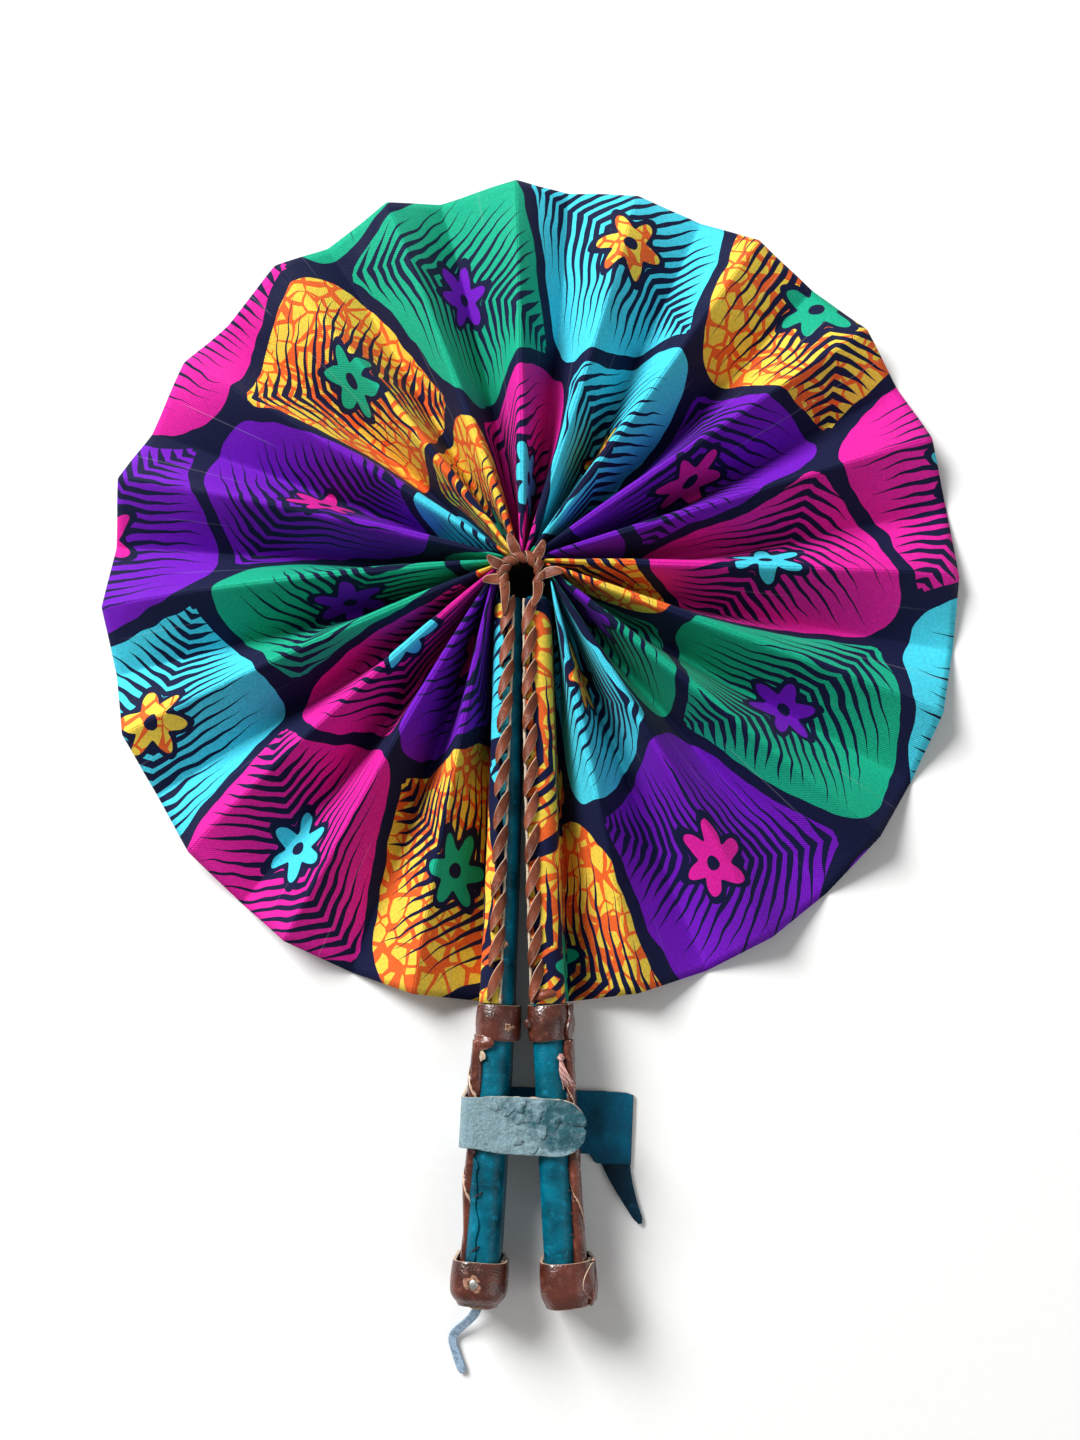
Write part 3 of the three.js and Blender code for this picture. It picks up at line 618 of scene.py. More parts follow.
    turned = add(tree, "ShaderNodeMath", fold, given["First Fold"], operation="SUBTRACT")
    weight = add(tree, "ShaderNodeMath", turned, given["Folds"], operation="DIVIDE")
    mapped = add(
        tree, "GeometryNodeStoreNamedAttribute", grid, data_type="FLOAT2", domain="CORNER",
        sockets={"Name": "cloth", "Value": flat},
    )
    weighted = add(
        tree, "GeometryNodeStoreNamedAttribute", mapped, data_type="FLOAT", domain="POINT",
        sockets={"Name": "turn", "Value": weight},
    )
    folded = add(tree, "GeometryNodeSetPosition", weighted, sockets={"Position": position})
    realized = add(tree, "GeometryNodeRealizeInstances", folded)
    dressed = add(tree, "GeometryNodeSetMaterial", realized, sockets={"Material": given["Cloth"]})
    add(tree, "NodeGroupOutput", dressed)
    return tree


def lace_tree():
    """Tree that winds a flat leather lace round a level path, which holds the directions across it."""
    tree, given = geometry_tree("wound lace", {
        "Points": int, "Half Width": float, "Half Height": float, "Lace Width": float,
        "Lace Thickness": float, "Leather": bpy.types.Material,
    })
    path = add(tree, "GeometryNodeMeshToCurve", given["Geometry"])
    fine = add(tree, "GeometryNodeResampleCurve", path, sockets={"Count": given["Points"]})
    across = add(tree, "GeometryNodeInputNamedAttribute", "across", data_type="FLOAT_VECTOR")
    angle = add(tree, "GeometryNodeInputNamedAttribute", "turn_angle", data_type="FLOAT")
    cosine = add(tree, "ShaderNodeMath", angle, operation="COSINE")
    sine = add(tree, "ShaderNodeMath", angle, operation="SINE")
    facing_across = add(
        tree, "ShaderNodeVectorMath", across, operation="SCALE", sockets={"Scale": cosine}
    )
    facing_up = add(tree, "ShaderNodeCombineXYZ", 0.0, 0.0, sine)
    facing = add(tree, "ShaderNodeVectorMath", facing_across, facing_up, operation="ADD")
    out_across = add(
        tree, "ShaderNodeVectorMath", facing_across, operation="SCALE", sockets={"Scale": given["Half Width"]}
    )
    out_up = add(
        tree, "ShaderNodeVectorMath", facing_up, operation="SCALE", sockets={"Scale": given["Half Height"]}
    )
    out = add(tree, "ShaderNodeVectorMath", out_across, out_up, operation="ADD")
    kept = add(
        tree, "GeometryNodeStoreNamedAttribute", fine, data_type="FLOAT_VECTOR", domain="POINT",
        sockets={"Name": "facing", "Value": facing},
    )
    wound = add(tree, "GeometryNodeSetPosition", kept, sockets={"Offset": out})
    direction = add(tree, "GeometryNodeInputNamedAttribute", "facing", data_type="FLOAT_VECTOR")
    turned = add(
        tree, "GeometryNodeSetCurveNormal", wound, mode="FREE", sockets={"Normal": direction}
    )
    circle = add(tree, "GeometryNodeCurvePrimitiveCircle", 12, sockets={"Radius": 1.0})
    spot = add(tree, "GeometryNodeInputPosition")
    spot_parts = add(tree, "ShaderNodeSeparateXYZ", spot)
    side = add(tree, "ShaderNodeMath", spot_parts.outputs["Y"], operation="ABSOLUTE")
    marked = add(
        tree, "GeometryNodeStoreNamedAttribute", circle.outputs["Curve"], data_type="FLOAT",
        domain="POINT", sockets={"Name": "rim", "Value": side},
    )
    half_thickness = add(tree, "ShaderNodeMath", given["Lace Thickness"], 0.5, operation="MULTIPLY")
    half_lace = add(tree, "ShaderNodeMath", given["Lace Width"], 0.5, operation="MULTIPLY")
    section = add(tree, "ShaderNodeCombineXYZ", half_thickness, half_lace, 1.0)
    scaled = add(tree, "GeometryNodeTransform", marked, sockets={"Scale": section})
    lace = add(
        tree, "GeometryNodeCurveToMesh", turned, scaled, sockets={"Fill Caps": True}
    )
    realized = add(tree, "GeometryNodeRealizeInstances", lace)
    dressed = add(tree, "GeometryNodeSetMaterial", realized, sockets={"Material": given["Leather"]})
    add(tree, "NodeGroupOutput", dressed)
    return tree


def lace_path(name, points, across, angles):
    """Line of points that holds the directions across a lace's path and the lace's turns."""
    mesh = bpy.data.meshes.new(name)
    mesh.from_pydata([tuple(p) for p in points], [(k, k + 1) for k in range(len(points) - 1)], [])
    sideways = mesh.attributes.new("across", "FLOAT_VECTOR", "POINT")
    sideways.data.foreach_set("vector", np.array([tuple(way) for way in across]).ravel())
    mesh.attributes.new("turn_angle", "FLOAT", "POINT").data.foreach_set("value", angles)
    return mesh


# Materials
def begin(name):
    """New node material, its tree and its shader."""
    material = bpy.data.materials.new(name)
    material.use_nodes = True
    tree = material.node_tree
    tree.nodes.clear()
    shader = add(tree, "ShaderNodeBsdfPrincipled")
    add(tree, "ShaderNodeOutputMaterial", shader)
    return material, tree, shader


# Printed cotton, machine woven, wax-resist dyed and calendered: flat saturated colours, a fine weave, a faint
# sheen along the pressed folds and pale old crease lines
def printed_cotton(leaf):
    material, tree, shader = begin("printed cotton")
    fill(tree, shader, {"Sheen Weight": 0.03, "Sheen Roughness": 0.4, "Specular IOR Level": 0.16})
    motif_long, motif_wide, outline, stroke_pitch, crackle = 132.0, 104.0, 4.0, 4.6, 7.0
    flower_radius, petal_depth, flower_outline, flower_heart = 10.0, 3.2, 3.2, 2.6
    hand_size, hand_reach, vein_slant, petal_count = 26, 9.0, 0.55, 6.0
    crackle_patch, dye_patch, wear_patch, crumple_size = 14, 1.1, 45, 9
    colours = (leaf.turquoise, leaf.purple, leaf.yellow, leaf.magenta, leaf.green)
    cell_size = (motif_long, motif_wide, 1.0)
    flat = add(tree, "ShaderNodeUVMap", uv_map="cloth")
    size = add(tree, "ShaderNodeVectorMath", flat, operation="SCALE", sockets={"Scale": 1000.0})
    hand = add(tree, "ShaderNodeTexNoise", sockets={"Vector": size, "Scale": 1 / hand_size, "Detail": 2.0})
    drawn = add(
        tree, "ShaderNodeVectorMath", hand.outputs["Color"], (hand_reach, hand_reach, 0.0), size,
        operation="MULTIPLY_ADD",
    )
    turned = add(
        tree, "ShaderNodeVectorRotate", drawn, rotation_type="Z_AXIS",
        sockets={"Center": (0.0, 60.0, 0.0), "Angle": math.radians(27)},
    )

    # Two staggered sets of pointed ovals fill the cloth
    sets = []
    for shift in ((0.0, 0.0, 0.0), (motif_long / 2, motif_wide / 2, 0.0)):
        moved = add(tree, "ShaderNodeVectorMath", turned, shift, operation="ADD")
        ratio = add(tree, "ShaderNodeVectorMath", moved, cell_size, operation="DIVIDE")
        middle = add(tree, "ShaderNodeVectorMath", ratio, (0.5, 0.5, shift[0]), operation="ADD")
        cell = add(tree, "ShaderNodeVectorMath", middle, operation="FLOOR")
        start = add(tree, "ShaderNodeVectorMath", cell, (motif_long, motif_wide, 0.0), operation="MULTIPLY")
        local = add(tree, "ShaderNodeVectorMath", moved, start, operation="SUBTRACT")
        parts = add(tree, "ShaderNodeSeparateXYZ", local)
        turn = add(
            tree, "ShaderNodeMath", parts.outputs["X"], 2 * math.pi / motif_long, operation="MULTIPLY"
        )
        wave = add(tree, "ShaderNodeMath", turn, operation="COSINE")
        half = add(tree, "ShaderNodeMath", wave, motif_wide / 4, motif_wide / 4, operation="MULTIPLY_ADD")
        aside = add(tree, "ShaderNodeMath", parts.outputs["Y"], operation="ABSOLUTE")
        sets.append((cell, half, aside, parts.outputs["X"]))
    first = add(tree, "ShaderNodeMath", sets[0][2], sets[0][1], operation="LESS_THAN")
    cell = add(tree, "ShaderNodeMix", first, sockets={4: sets[1][0], 5: sets[0][0]}, data_type="VECTOR")
    half, aside, x = (
        add(tree, "ShaderNodeMix", first, sockets={2: sets[1][k], 3: sets[0][k]}) for k in (1, 2, 3)
    )
    room = add(tree, "ShaderNodeMath", half, aside, operation="SUBTRACT")
    patch = add(tree, "ShaderNodeMath", room, outline, operation="GREATER_THAN")

    # Each oval takes one of five colours, and its flower another
    rank = add(tree, "ShaderNodeVectorMath", cell.outputs[1], (1.0, 2.0, 0.04), operation="DOT_PRODUCT")
    paints = []
    for ahead in (0.5, 2.5):
        moved = add(tree, "ShaderNodeMath", rank.outputs["Value"], ahead, operation="ADD")
        wrapped = add(tree, "ShaderNodeMath", moved, len(colours), operation="FLOORED_MODULO")
        place_on_ramp = add(tree, "ShaderNodeMath", wrapped, 1 / len(colours), operation="MULTIPLY")
        ramp = add(tree, "ShaderNodeValToRGB", place_on_ramp)
        ramp.color_ramp.interpolation = "CONSTANT"
        while len(ramp.color_ramp.elements) < len(colours):
            ramp.color_ramp.elements.new(0.5)
        for k, colour in enumerate(colours):
            ramp.color_ramp.elements[k].position = k / len(colours)
            ramp.color_ramp.elements[k].color = opaque(colour)
        yellow = add(tree, "ShaderNodeMath", place_on_ramp, 0.5, 0.1, operation="COMPARE")
        paints.append((ramp, yellow))

    # Orange crackle in the yellow
    web = add(
        tree, "ShaderNodeTexVoronoi", feature="DISTANCE_TO_EDGE",
        sockets={"Vector": drawn, "Scale": 1 / crackle},
    )
    thin = add(
        tree, "ShaderNodeTexNoise", sockets={"Vector": size, "Scale": 1 / crackle_patch, "Detail": 1.0}
    )
    limit = add(tree, "ShaderNodeMath", thin, 0.36, -0.08, operation="MULTIPLY_ADD")
    crack = add(tree, "ShaderNodeMath", web, limit, operation="LESS_THAN")
    dyed = []
    for ramp, yellow in paints:
        cracked = add(tree, "ShaderNodeMath", crack, yellow, operation="MULTIPLY")
        dyed.append(add(
            tree, "ShaderNodeMix", cracked, sockets={6: ramp, 7: opaque(leaf.orange)}, data_type="RGBA"
        ).outputs[2])

    # Veins that taper from the middle outwards
    slant = add(tree, "ShaderNodeMath", aside, -vein_slant, x, operation="MULTIPLY_ADD")
    tooth = add(tree, "ShaderNodeMath", slant, 1 / stroke_pitch, operation="MULTIPLY")
    number = add(tree, "ShaderNodeMath", tooth, operation="FLOOR")
    inside = add(tree, "ShaderNodeMath", tooth, number, operation="SUBTRACT")
    centred = add(tree, "ShaderNodeMath", inside, 0.5, operation="SUBTRACT")
    off_line = add(tree, "ShaderNodeMath", centred, operation="ABSOLUTE")
    key = add(tree, "ShaderNodeMath", rank.outputs["Value"], 17.3, number, operation="MULTIPLY_ADD")
    chance = add(tree, "ShaderNodeTexWhiteNoise", sockets={"W": key}, noise_dimensions="1D")
    tip = add(tree, "ShaderNodeMath", chance.outputs["Value"], 0.3, 0.6, operation="MULTIPLY_ADD")
    outward = add(tree, "ShaderNodeMath", aside, half, operation="DIVIDE")
    thickness = add(tree, "ShaderNodeMapRange", outward, 0.1, tip, 0.3, 0.0)
    stroke = add(tree, "ShaderNodeMath", off_line, thickness, operation="LESS_THAN")
    unmarked = add(tree, "ShaderNodeMath", 1.0, stroke, operation="SUBTRACT")
    shown = add(tree, "ShaderNodeMath", patch, unmarked, operation="MULTIPLY")

    # A small flower of another colour in the middle of each oval
    swung = add(tree, "ShaderNodeMath", aside, x, operation="ARCTAN2")
    petals = add(tree, "ShaderNodeMath", swung, petal_count, operation="MULTIPLY")
    petal_wave = add(tree, "ShaderNodeMath", petals, operation="COSINE")
    petal_reach = add(
        tree, "ShaderNodeMath", petal_wave, -petal_depth, flower_radius, operation="MULTIPLY_ADD"
    )
    spread = add(tree, "ShaderNodeCombineXYZ", x, aside)
    from_middle = add(tree, "ShaderNodeVectorMath", spread, operation="LENGTH").outputs["Value"]
    flower_edge = add(tree, "ShaderNodeMath", petal_reach, from_middle, operation="SUBTRACT")
    colour = add(
        tree, "ShaderNodeMix", shown, sockets={6: opaque(leaf.navy), 7: dyed[0]}, data_type="RGBA"
    )
    for depth, layer in ((-flower_outline, opaque(leaf.navy)), (0.0, dyed[1])):
        within = add(tree, "ShaderNodeMath", flower_edge, depth, operation="GREATER_THAN")
        colour = add(
            tree, "ShaderNodeMix", within, sockets={6: colour.outputs[2], 7: layer}, data_type="RGBA"
        )
    heart = add(tree, "ShaderNodeMath", from_middle, flower_heart, operation="LESS_THAN")
    colour = add(
        tree, "ShaderNodeMix", heart, sockets={6: colour.outputs[2], 7: opaque(leaf.navy)}, data_type="RGBA"
    )

    # Dye takes unevenly, the pressed ridges are a little worn, and the cloth inside the hub ring is darkened
    # as painted shade of the hub's hole
    patchy = add(tree, "ShaderNodeTexNoise", sockets={"Vector": size, "Scale": 1 / dye_patch, "Detail": 3.0})
    tone = add(tree, "ShaderNodeMapRange", patchy, 0.3, 0.7, 0.84, 1.1)
    tinted = add(tree, "ShaderNodeVectorMath", colour.outputs[2], operation="SCALE", sockets={"Scale": tone})
    strip = add(tree, "ShaderNodeSeparateXYZ", size)
    faces = add(tree, "ShaderNodeMath", strip.outputs["X"], 1 / PLEAT_FACE, operation="MULTIPLY")
    face_part = add(tree, "ShaderNodeMath", faces, operation="FRACT")
    from_edge = add(tree, "ShaderNodeMath", face_part, 0.5, 0.5, operation="PINGPONG")
    old_crease = add(tree, "ShaderNodeMapRange", from_edge, 0.485, 0.5, 0.0, 1.0)
    broken = add(tree, "ShaderNodeTexNoise", sockets={"Vector": size, "Scale": 1 / wear_patch, "Detail": 1.0})
    shows = add(tree, "ShaderNodeMapRange", broken, 0.5, 0.6, 0.0, 1.0)
    crease = add(tree, "ShaderNodeMath", old_crease, shows, operation="MULTIPLY")
    worn = add(tree, "ShaderNodeMapRange", crease, 0.0, 1.0, 0.0, 0.16)
    aged = add(
        tree, "ShaderNodeMix", worn, sockets={6: tinted, 7: opaque(linear("#b9b4c4"))}, data_type="RGBA"
    )
    # Painted shade: the cloth darkens towards its inner edge, where it sinks into the hub's hole
    hub_shade = add(tree, "ShaderNodeMapRange", strip.outputs["Y"], -6.0, -3.2, 0.05, 1.0)
    hub_shaded = add(
        tree, "ShaderNodeVectorMath", aged.outputs[2], operation="SCALE", sockets={"Scale": hub_shade}
    )

    # The real threads are 0.4 mm apart: they are drawn at 0.9 mm so that the render can show them
    weave_pitch = 0.9
    threads = []
    for axis in ("X", "Y"):
        run = add(
            tree, "ShaderNodeMath", strip.outputs[axis], 2 * math.pi / weave_pitch, operation="MULTIPLY"
        )
        threads.append(add(tree, "ShaderNodeMath", run, operation="SINE"))
    weave = add(tree, "ShaderNodeMath", threads[0], threads[1], operation="MULTIPLY")
    crumple = add(
        tree, "ShaderNodeTexNoise", sockets={"Vector": size, "Scale": 1 / crumple_size, "Detail": 4.0}
    )
    relief = add(tree, "ShaderNodeMath", crumple, 3.0, weave, operation="MULTIPLY_ADD")
    folded = add(tree, "ShaderNodeMath", crease, 3.0, relief, operation="MULTIPLY_ADD")
    bump = add(
        tree, "ShaderNodeBump", sockets={"Strength": 0.35, "Distance": 0.0003, "Height": folded}
    )
    gloss = add(tree, "ShaderNodeMapRange", crumple, 0.3, 0.7, 0.62, 0.78)
    fill(tree, shader, {"Base Color": hub_shaded, "Normal": bump, "Roughness": gloss})
    return material


# Plain navy cotton of the tucked cloth: dull, with the same weave, and darkened well below the print's navy
# as painted shade of the hub's hole
def hub_shade_cotton(colour):
    material, tree, shader = begin("navy cotton darkened as painted hub shade")
    fill(tree, shader, {"Specular IOR Level": 0.2, "Sheen Weight": 0.05})
    spot = add(tree, "ShaderNodeTexCoord").outputs["Object"]
    weave = add(tree, "ShaderNodeTexChecker", sockets={"Vector": spot, "Scale": per_metre(0.9)})
    # Painted shade: the navy is scaled to 35 to 45 per cent, the weave's checks giving the spread
    tone = add(tree, "ShaderNodeMapRange", weave.outputs["Fac"], 0.0, 1.0, 0.35, 0.45)
    tinted = add(tree, "ShaderNodeVectorMath", list(colour), operation="SCALE", sockets={"Scale": tone})
    gloss = add(tree, "ShaderNodeMapRange", weave.outputs["Fac"], 0.0, 1.0, 0.85, 0.95)
    bump = add(
        tree, "ShaderNodeBump", sockets={"Strength": 0.3, "Distance": 0.0002, "Height": weave.outputs["Fac"]}
    )
    fill(tree, shader, {"Base Color": tinted, "Normal": bump, "Roughness": gloss})
    return material


# Dyed goat leather, smooth grain side, rubbed with wax: soft mottled colour, fine pores and small wrinkles,
# half-gloss highlights that break up on the grain
def grain_leather(name, colour, dark, pale, pore, roughness, shine, rimmed=False, wrinkles=3.0):
    material, tree, shader = begin(name)
    fill(tree, shader, {"IOR": 1.5, "Specular IOR Level": shine, "Coat Weight": 0.06, "Coat Roughness": 0.25})
    spot = add(tree, "ShaderNodeTexCoord").outputs["Object"]
    mottle = add(
        tree, "ShaderNodeTexNoise", sockets={"Vector": spot, "Scale": per_metre(9), "Detail": 5.0}
    )
    deep = add(tree, "ShaderNodeMapRange", mottle, 0.32, 0.62, 1.0, 0.0)
    toned = add(
        tree, "ShaderNodeMix", deep, sockets={6: opaque(colour), 7: opaque(linear(dark))}, data_type="RGBA"
    )
    wear = add(
        tree, "ShaderNodeTexNoise", sockets={"Vector": spot, "Scale": per_metre(2.6), "Detail": 6.0}
    )
    rubbed = add(tree, "ShaderNodeMapRange", wear, 0.58, 0.74, 0.0, 0.55)
    base = add(
        tree, "ShaderNodeMix", rubbed, data_type="RGBA",
        sockets={6: toned.outputs[2], 7: opaque(linear(pale))},
    )
    if rimmed:
        rim = add(tree, "ShaderNodeAttribute", attribute_name="rim")
        cut = add(tree, "ShaderNodeMapRange", rim.outputs["Fac"], 0.86, 0.95, 0.0, 0.85)
        base = add(
            tree, "ShaderNodeMix", cut, data_type="RGBA",
            sockets={6: base.outputs[2], 7: opaque(linear("#d8b79a"))},
        )
    pores = add(tree, "ShaderNodeTexVoronoi", sockets={"Vector": spot, "Scale": per_metre(pore)})
    wrinkle = add(
        tree, "ShaderNodeTexNoise", sockets={"Vector": spot, "Scale": per_metre(3.2), "Detail": 4.0}
    )
    relief = add(tree, "ShaderNodeMath", wrinkle, wrinkles, pores, operation="MULTIPLY_ADD")
    bump = add(tree, "ShaderNodeBump", sockets={"Strength": 0.4, "Distance": 0.00025, "Height": relief})
    gloss = add(tree, "ShaderNodeMapRange", wear, 0.3, 0.7, roughness - 0.08, roughness + 0.14)
    fill(tree, shader, {"Base Color": base.outputs[2], "Normal": bump, "Roughness": gloss})
    return material


# Flesh side and cut edge of leather, split and brushed: matt, with a short loose nap and darker scuffs
def nap_leather(name, colour, scuff, nap, scuffs, spots, stain=None):
    material, tree, shader = begin(name)
    fill(tree, shader, {"Specular IOR Level": 0.2, "Sheen Weight": 0.25, "Sheen Roughness": 0.6})
    spot = add(tree, "ShaderNodeTexCoord").outputs["Object"]
    cloud = add(
        tree, "ShaderNodeTexNoise",
        sockets={"Vector": spot, "Scale": per_metre(spots), "Detail": 6.0, "Roughness": 0.65},
    )
    scuffed = add(tree, "ShaderNodeMapRange", cloud, 0.46, 0.66, 0.0, scuffs)
    toned = add(
        tree, "ShaderNodeMix", scuffed, data_type="RGBA",
        sockets={6: opaque(colour), 7: opaque(linear(scuff))},
    )
    if stain:
        mark = add(tree, "ShaderNodeAttribute", attribute_name="stain")
        ragged = add(tree, "ShaderNodeMath", cloud, 2.4, mark.outputs["Fac"], operation="MULTIPLY_ADD")
        dyed = add(tree, "ShaderNodeMapRange", ragged, 1.45, 2.3, 0.0, 0.95)
        toned = add(
            tree, "ShaderNodeMix", dyed, data_type="RGBA",
            sockets={6: toned.outputs[2], 7: opaque(linear(stain))},
        )
    fluff = add(
        tree, "ShaderNodeTexNoise", sockets={"Vector": spot, "Scale": per_metre(nap), "Detail": 5.0}
    )
    tone = add(tree, "ShaderNodeMapRange", fluff, 0.3, 0.7, 0.78, 1.16)
    tinted = add(tree, "ShaderNodeVectorMath", toned.outputs[2], operation="SCALE", sockets={"Scale": tone})
    relief = add(tree, "ShaderNodeMath", cloud, 2.0, fluff, operation="MULTIPLY_ADD")
    bump = add(tree, "ShaderNodeBump", sockets={"Strength": 0.7, "Distance": 0.0006, "Height": relief})
    gloss = add(tree, "ShaderNodeMapRange", fluff, 0.3, 0.7, 0.85, 0.98)
    fill(tree, shader, {"Base Color": tinted, "Normal": bump, "Roughness": gloss})
    return material


# Split hardwood, roughly whittled: long pale and dark grain lines along the stick
def split_wood():
    material, tree, shader = begin("split hardwood")
    fill(tree, shader, {"IOR": 1.5, "Specular IOR Level": 0.3})
    spot = add(tree, "ShaderNodeTexCoord").outputs["Object"]
    long_way = add(tree, "ShaderNodeMapping", spot, sockets={"Scale": (1.0, 0.06, 1.0)})
    rings = add(
        tree, "ShaderNodeTexNoise", sockets={"Vector": long_way, "Scale": per_metre(1.4), "Detail": 4.0}
    )
    dark = add(tree, "ShaderNodeMapRange", rings, 0.35, 0.65, 0.0, 0.7)
    toned = add(
        tree, "ShaderNodeMix", dark, data_type="RGBA",
        sockets={6: opaque(linear("#b58a58")), 7: opaque(linear("#6e4a28"))},
    )
    gloss = add(tree, "ShaderNodeMapRange", rings, 0.3, 0.7, 0.6, 0.8)
    bump = add(tree, "ShaderNodeBump", sockets={"Strength": 0.4, "Distance": 0.0003, "Height": rings})
    fill(tree, shader, {"Base Color": toned.outputs[2], "Normal": bump, "Roughness": gloss})
    return material


# Nail steel, drawn and hammered, gone dull: grey metal with small dark pits
def nail_steel():
    material, tree, shader = begin("dull nail steel")
    fill(tree, shader, {"Metallic": 1.0})
    spot = add(tree, "ShaderNodeTexCoord").outputs["Object"]
    dents = add(
        tree, "ShaderNodeTexNoise", sockets={"Vector": spot, "Scale": per_metre(1.1), "Detail": 4.0}
    )
    tarnish = add(tree, "ShaderNodeMapRange", dents, 0.45, 0.7, 0.0, 0.6)
    toned = add(
        tree, "ShaderNodeMix", tarnish, data_type="RGBA",
        sockets={6: opaque(linear("#d2cfc8")), 7: opaque(linear("#7d776e"))},
    )
    gloss = add(tree, "ShaderNodeMapRange", dents, 0.3, 0.7, 0.32, 0.55)
    bump = add(tree, "ShaderNodeBump", sockets={"Strength": 0.5, "Distance": 0.0002, "Height": dents})
    fill(tree, shader, {"Base Color": toned.outputs[2], "Normal": bump, "Roughness": gloss})
    return material


# Twisted cotton sewing thread: matt, with a fine diagonal twist
def sewing_thread(name, colour, dark):
    material, tree, shader = begin(name)
    fill(tree, shader, {"Specular IOR Level": 0.25, "Sheen Weight": 0.3, "Roughness": 0.85})
    spot = add(tree, "ShaderNodeTexCoord").outputs["Object"]
    twist = add(
        tree, "ShaderNodeTexWave", bands_direction="DIAGONAL",
        sockets={"Vector": spot, "Scale": per_metre(3.0), "Distortion": 2.0},
    )
    toned = add(
        tree, "ShaderNodeMix", twist.outputs["Fac"], data_type="RGBA",
        sockets={6: opaque(linear(colour)), 7: opaque(linear(dark))},
    )
    bump = add(
        tree, "ShaderNodeBump", sockets={"Strength": 0.5, "Distance": 0.0002, "Height": twist.outputs["Fac"]}
    )
    fill(tree, shader, {"Base Color": toned.outputs[2], "Normal": bump})
    return material


# Matt white studio paper: even, with a barely visible tooth
def studio_paper(colour):
    material, tree, shader = begin("matt studio paper")
    fill(tree, shader, {"Specular IOR Level": 0.1, "Roughness": 0.95})
    spot = add(tree, "ShaderNodeTexCoord").outputs["Object"]
    tooth = add(
        tree, "ShaderNodeTexNoise", sockets={"Vector": spot, "Scale": per_metre(3), "Detail": 3.0}
    )
    tone = add(tree, "ShaderNodeMapRange", tooth, 0.3, 0.7, 0.985, 1.0)
    tinted = add(tree, "ShaderNodeVectorMath", list(colour), operation="SCALE", sockets={"Scale": tone})
    fill(tree, shader, {"Base Color": tinted})
    return material


FINISHES = {}


def finish(name):
    """Material of this fan, made once from the settings."""
    if not FINISHES:
        scene = bpy.context.scene
        skin = scene.fan_leather
        FINISHES.update({
            "cotton": printed_cotton(scene.fan_leaf),
            # Navy darkened as painted shade, for the cloth tucked into the hub's hole
            "hub_shade_lining": hub_shade_cotton(scene.fan_leaf.navy),
            "teal": grain_leather(
                "teal goat leather", skin.teal, "#003c4c", "#0097ba", pore=0.6, roughness=0.34, shine=0.16
            ),
            "brown": grain_leather(
                "brown waxed leather", skin.brown, "#3d190f", "#8d513b", pore=0.8, roughness=0.27, shine=0.75,
                rimmed=True, wrinkles=1.5,
            ),
            "piping": grain_leather(
                "brown rolled leather", linear("#6c3526"), "#3f1a11", "#9c5c45", pore=0.8, roughness=0.24,
                shine=0.6, rimmed=True,
            ),
            "lace": grain_leather(
                "brown leather lace", skin.lace, "#5a2a18", "#b06c4e", pore=0.6, roughness=0.42, shine=0.26,
                rimmed=True,
            ),
            "grain": grain_leather(
                "dark teal strap leather", skin.strap, "#003f57", "#0b7694", pore=0.5, roughness=0.42,
                shine=0.15,
            ),
            # Painted shade: a darker copy of the strap's grain leather, for the tail that is folded back out
            # of the light
            "tail": grain_leather(
                "strap leather darkened as painted shade", linear("#003048"), "#001c2a", "#0b4f66", pore=0.5, roughness=0.4,
                shine=0.15,
            ),
            "suede": nap_leather(
                "strap flesh side", skin.suede, "#6c7f82", nap=0.7, scuffs=0.6, spots=2.6, stain="#0a505c"
            ),
            "torn": nap_leather(
                "torn brown leather", linear("#b58468"), "#6d3826", nap=0.5, scuffs=0.8, spots=1.2
            ),
            "raw": nap_leather("cut leather edge", skin.raw, "#8f6f4e", nap=0.5, scuffs=0.6, spots=3.0),
            "thong": nap_leather("pale leather strip", skin.thong, "#47586a", nap=0.5, scuffs=0.7, spots=1.6),
            "wood": split_wood(),
            "steel": nail_steel(),
            "pink": sewing_thread("pink cotton thread", "#dcb0a6", "#a8746e"),
            "stitch": sewing_thread("dark waxed thread", "#2b1c1e", "#150d0e"),
            "paper": studio_paper(scene.fan_stage.floor),
        })
    return FINISHES[name]


# Settings
def colour_setting(name, description, code):
    """Colour that a user can change, given as an sRGB hex value."""
    return FloatVectorProperty(name=name, description=description, default=linear(code), subtype="COLOR")


def length_setting(name, description, size):
    """Length that a user can change, given in millimetres."""
    return FloatProperty(
        name=name, description=description, default=size * MM, subtype="DISTANCE", unit="LENGTH"
    )


class FanLeafSettings(bpy.types.PropertyGroup):
    """Sizes and colours of the cloth leaf."""

    cloth_thickness: length_setting("Cloth thickness", "Thickness of the stiffened cotton", 0.38)
    roundness: FloatProperty(
        name="Fold roundness", description="Share of a face that a ridge's curve takes", default=0.022,
        subtype="FACTOR",
    )
    tubes: FloatProperty(
        name="Tubes", description="How round the folds are at the hub", default=0.85, subtype="FACTOR"
    )
    slack: length_setting("Slack", "How far the faces swell between their folds", 11)
    columns: IntProperty(name="Columns", description="Points across each stretch of cloth", default=41)
    rows: IntProperty(name="Rows", description="Points from hub to rim", default=56)
    navy: colour_setting("Navy", "Ground of the print", "#0b1239")
    turquoise: colour_setting("Turquoise", "One of the five colours on the ground", "#46d2ea")
    magenta: colour_setting("Magenta", "One of the five colours on the ground", "#de1c9c")
    purple: colour_setting("Purple", "One of the five colours on the ground", "#7011ba")
    green: colour_setting("Green", "One of the five colours on the ground", "#10a984")
    yellow: colour_setting("Yellow", "One of the five colours on the ground", "#f0cf48")
    orange: colour_setting("Orange", "Crackle in the yellow", "#ec6428")


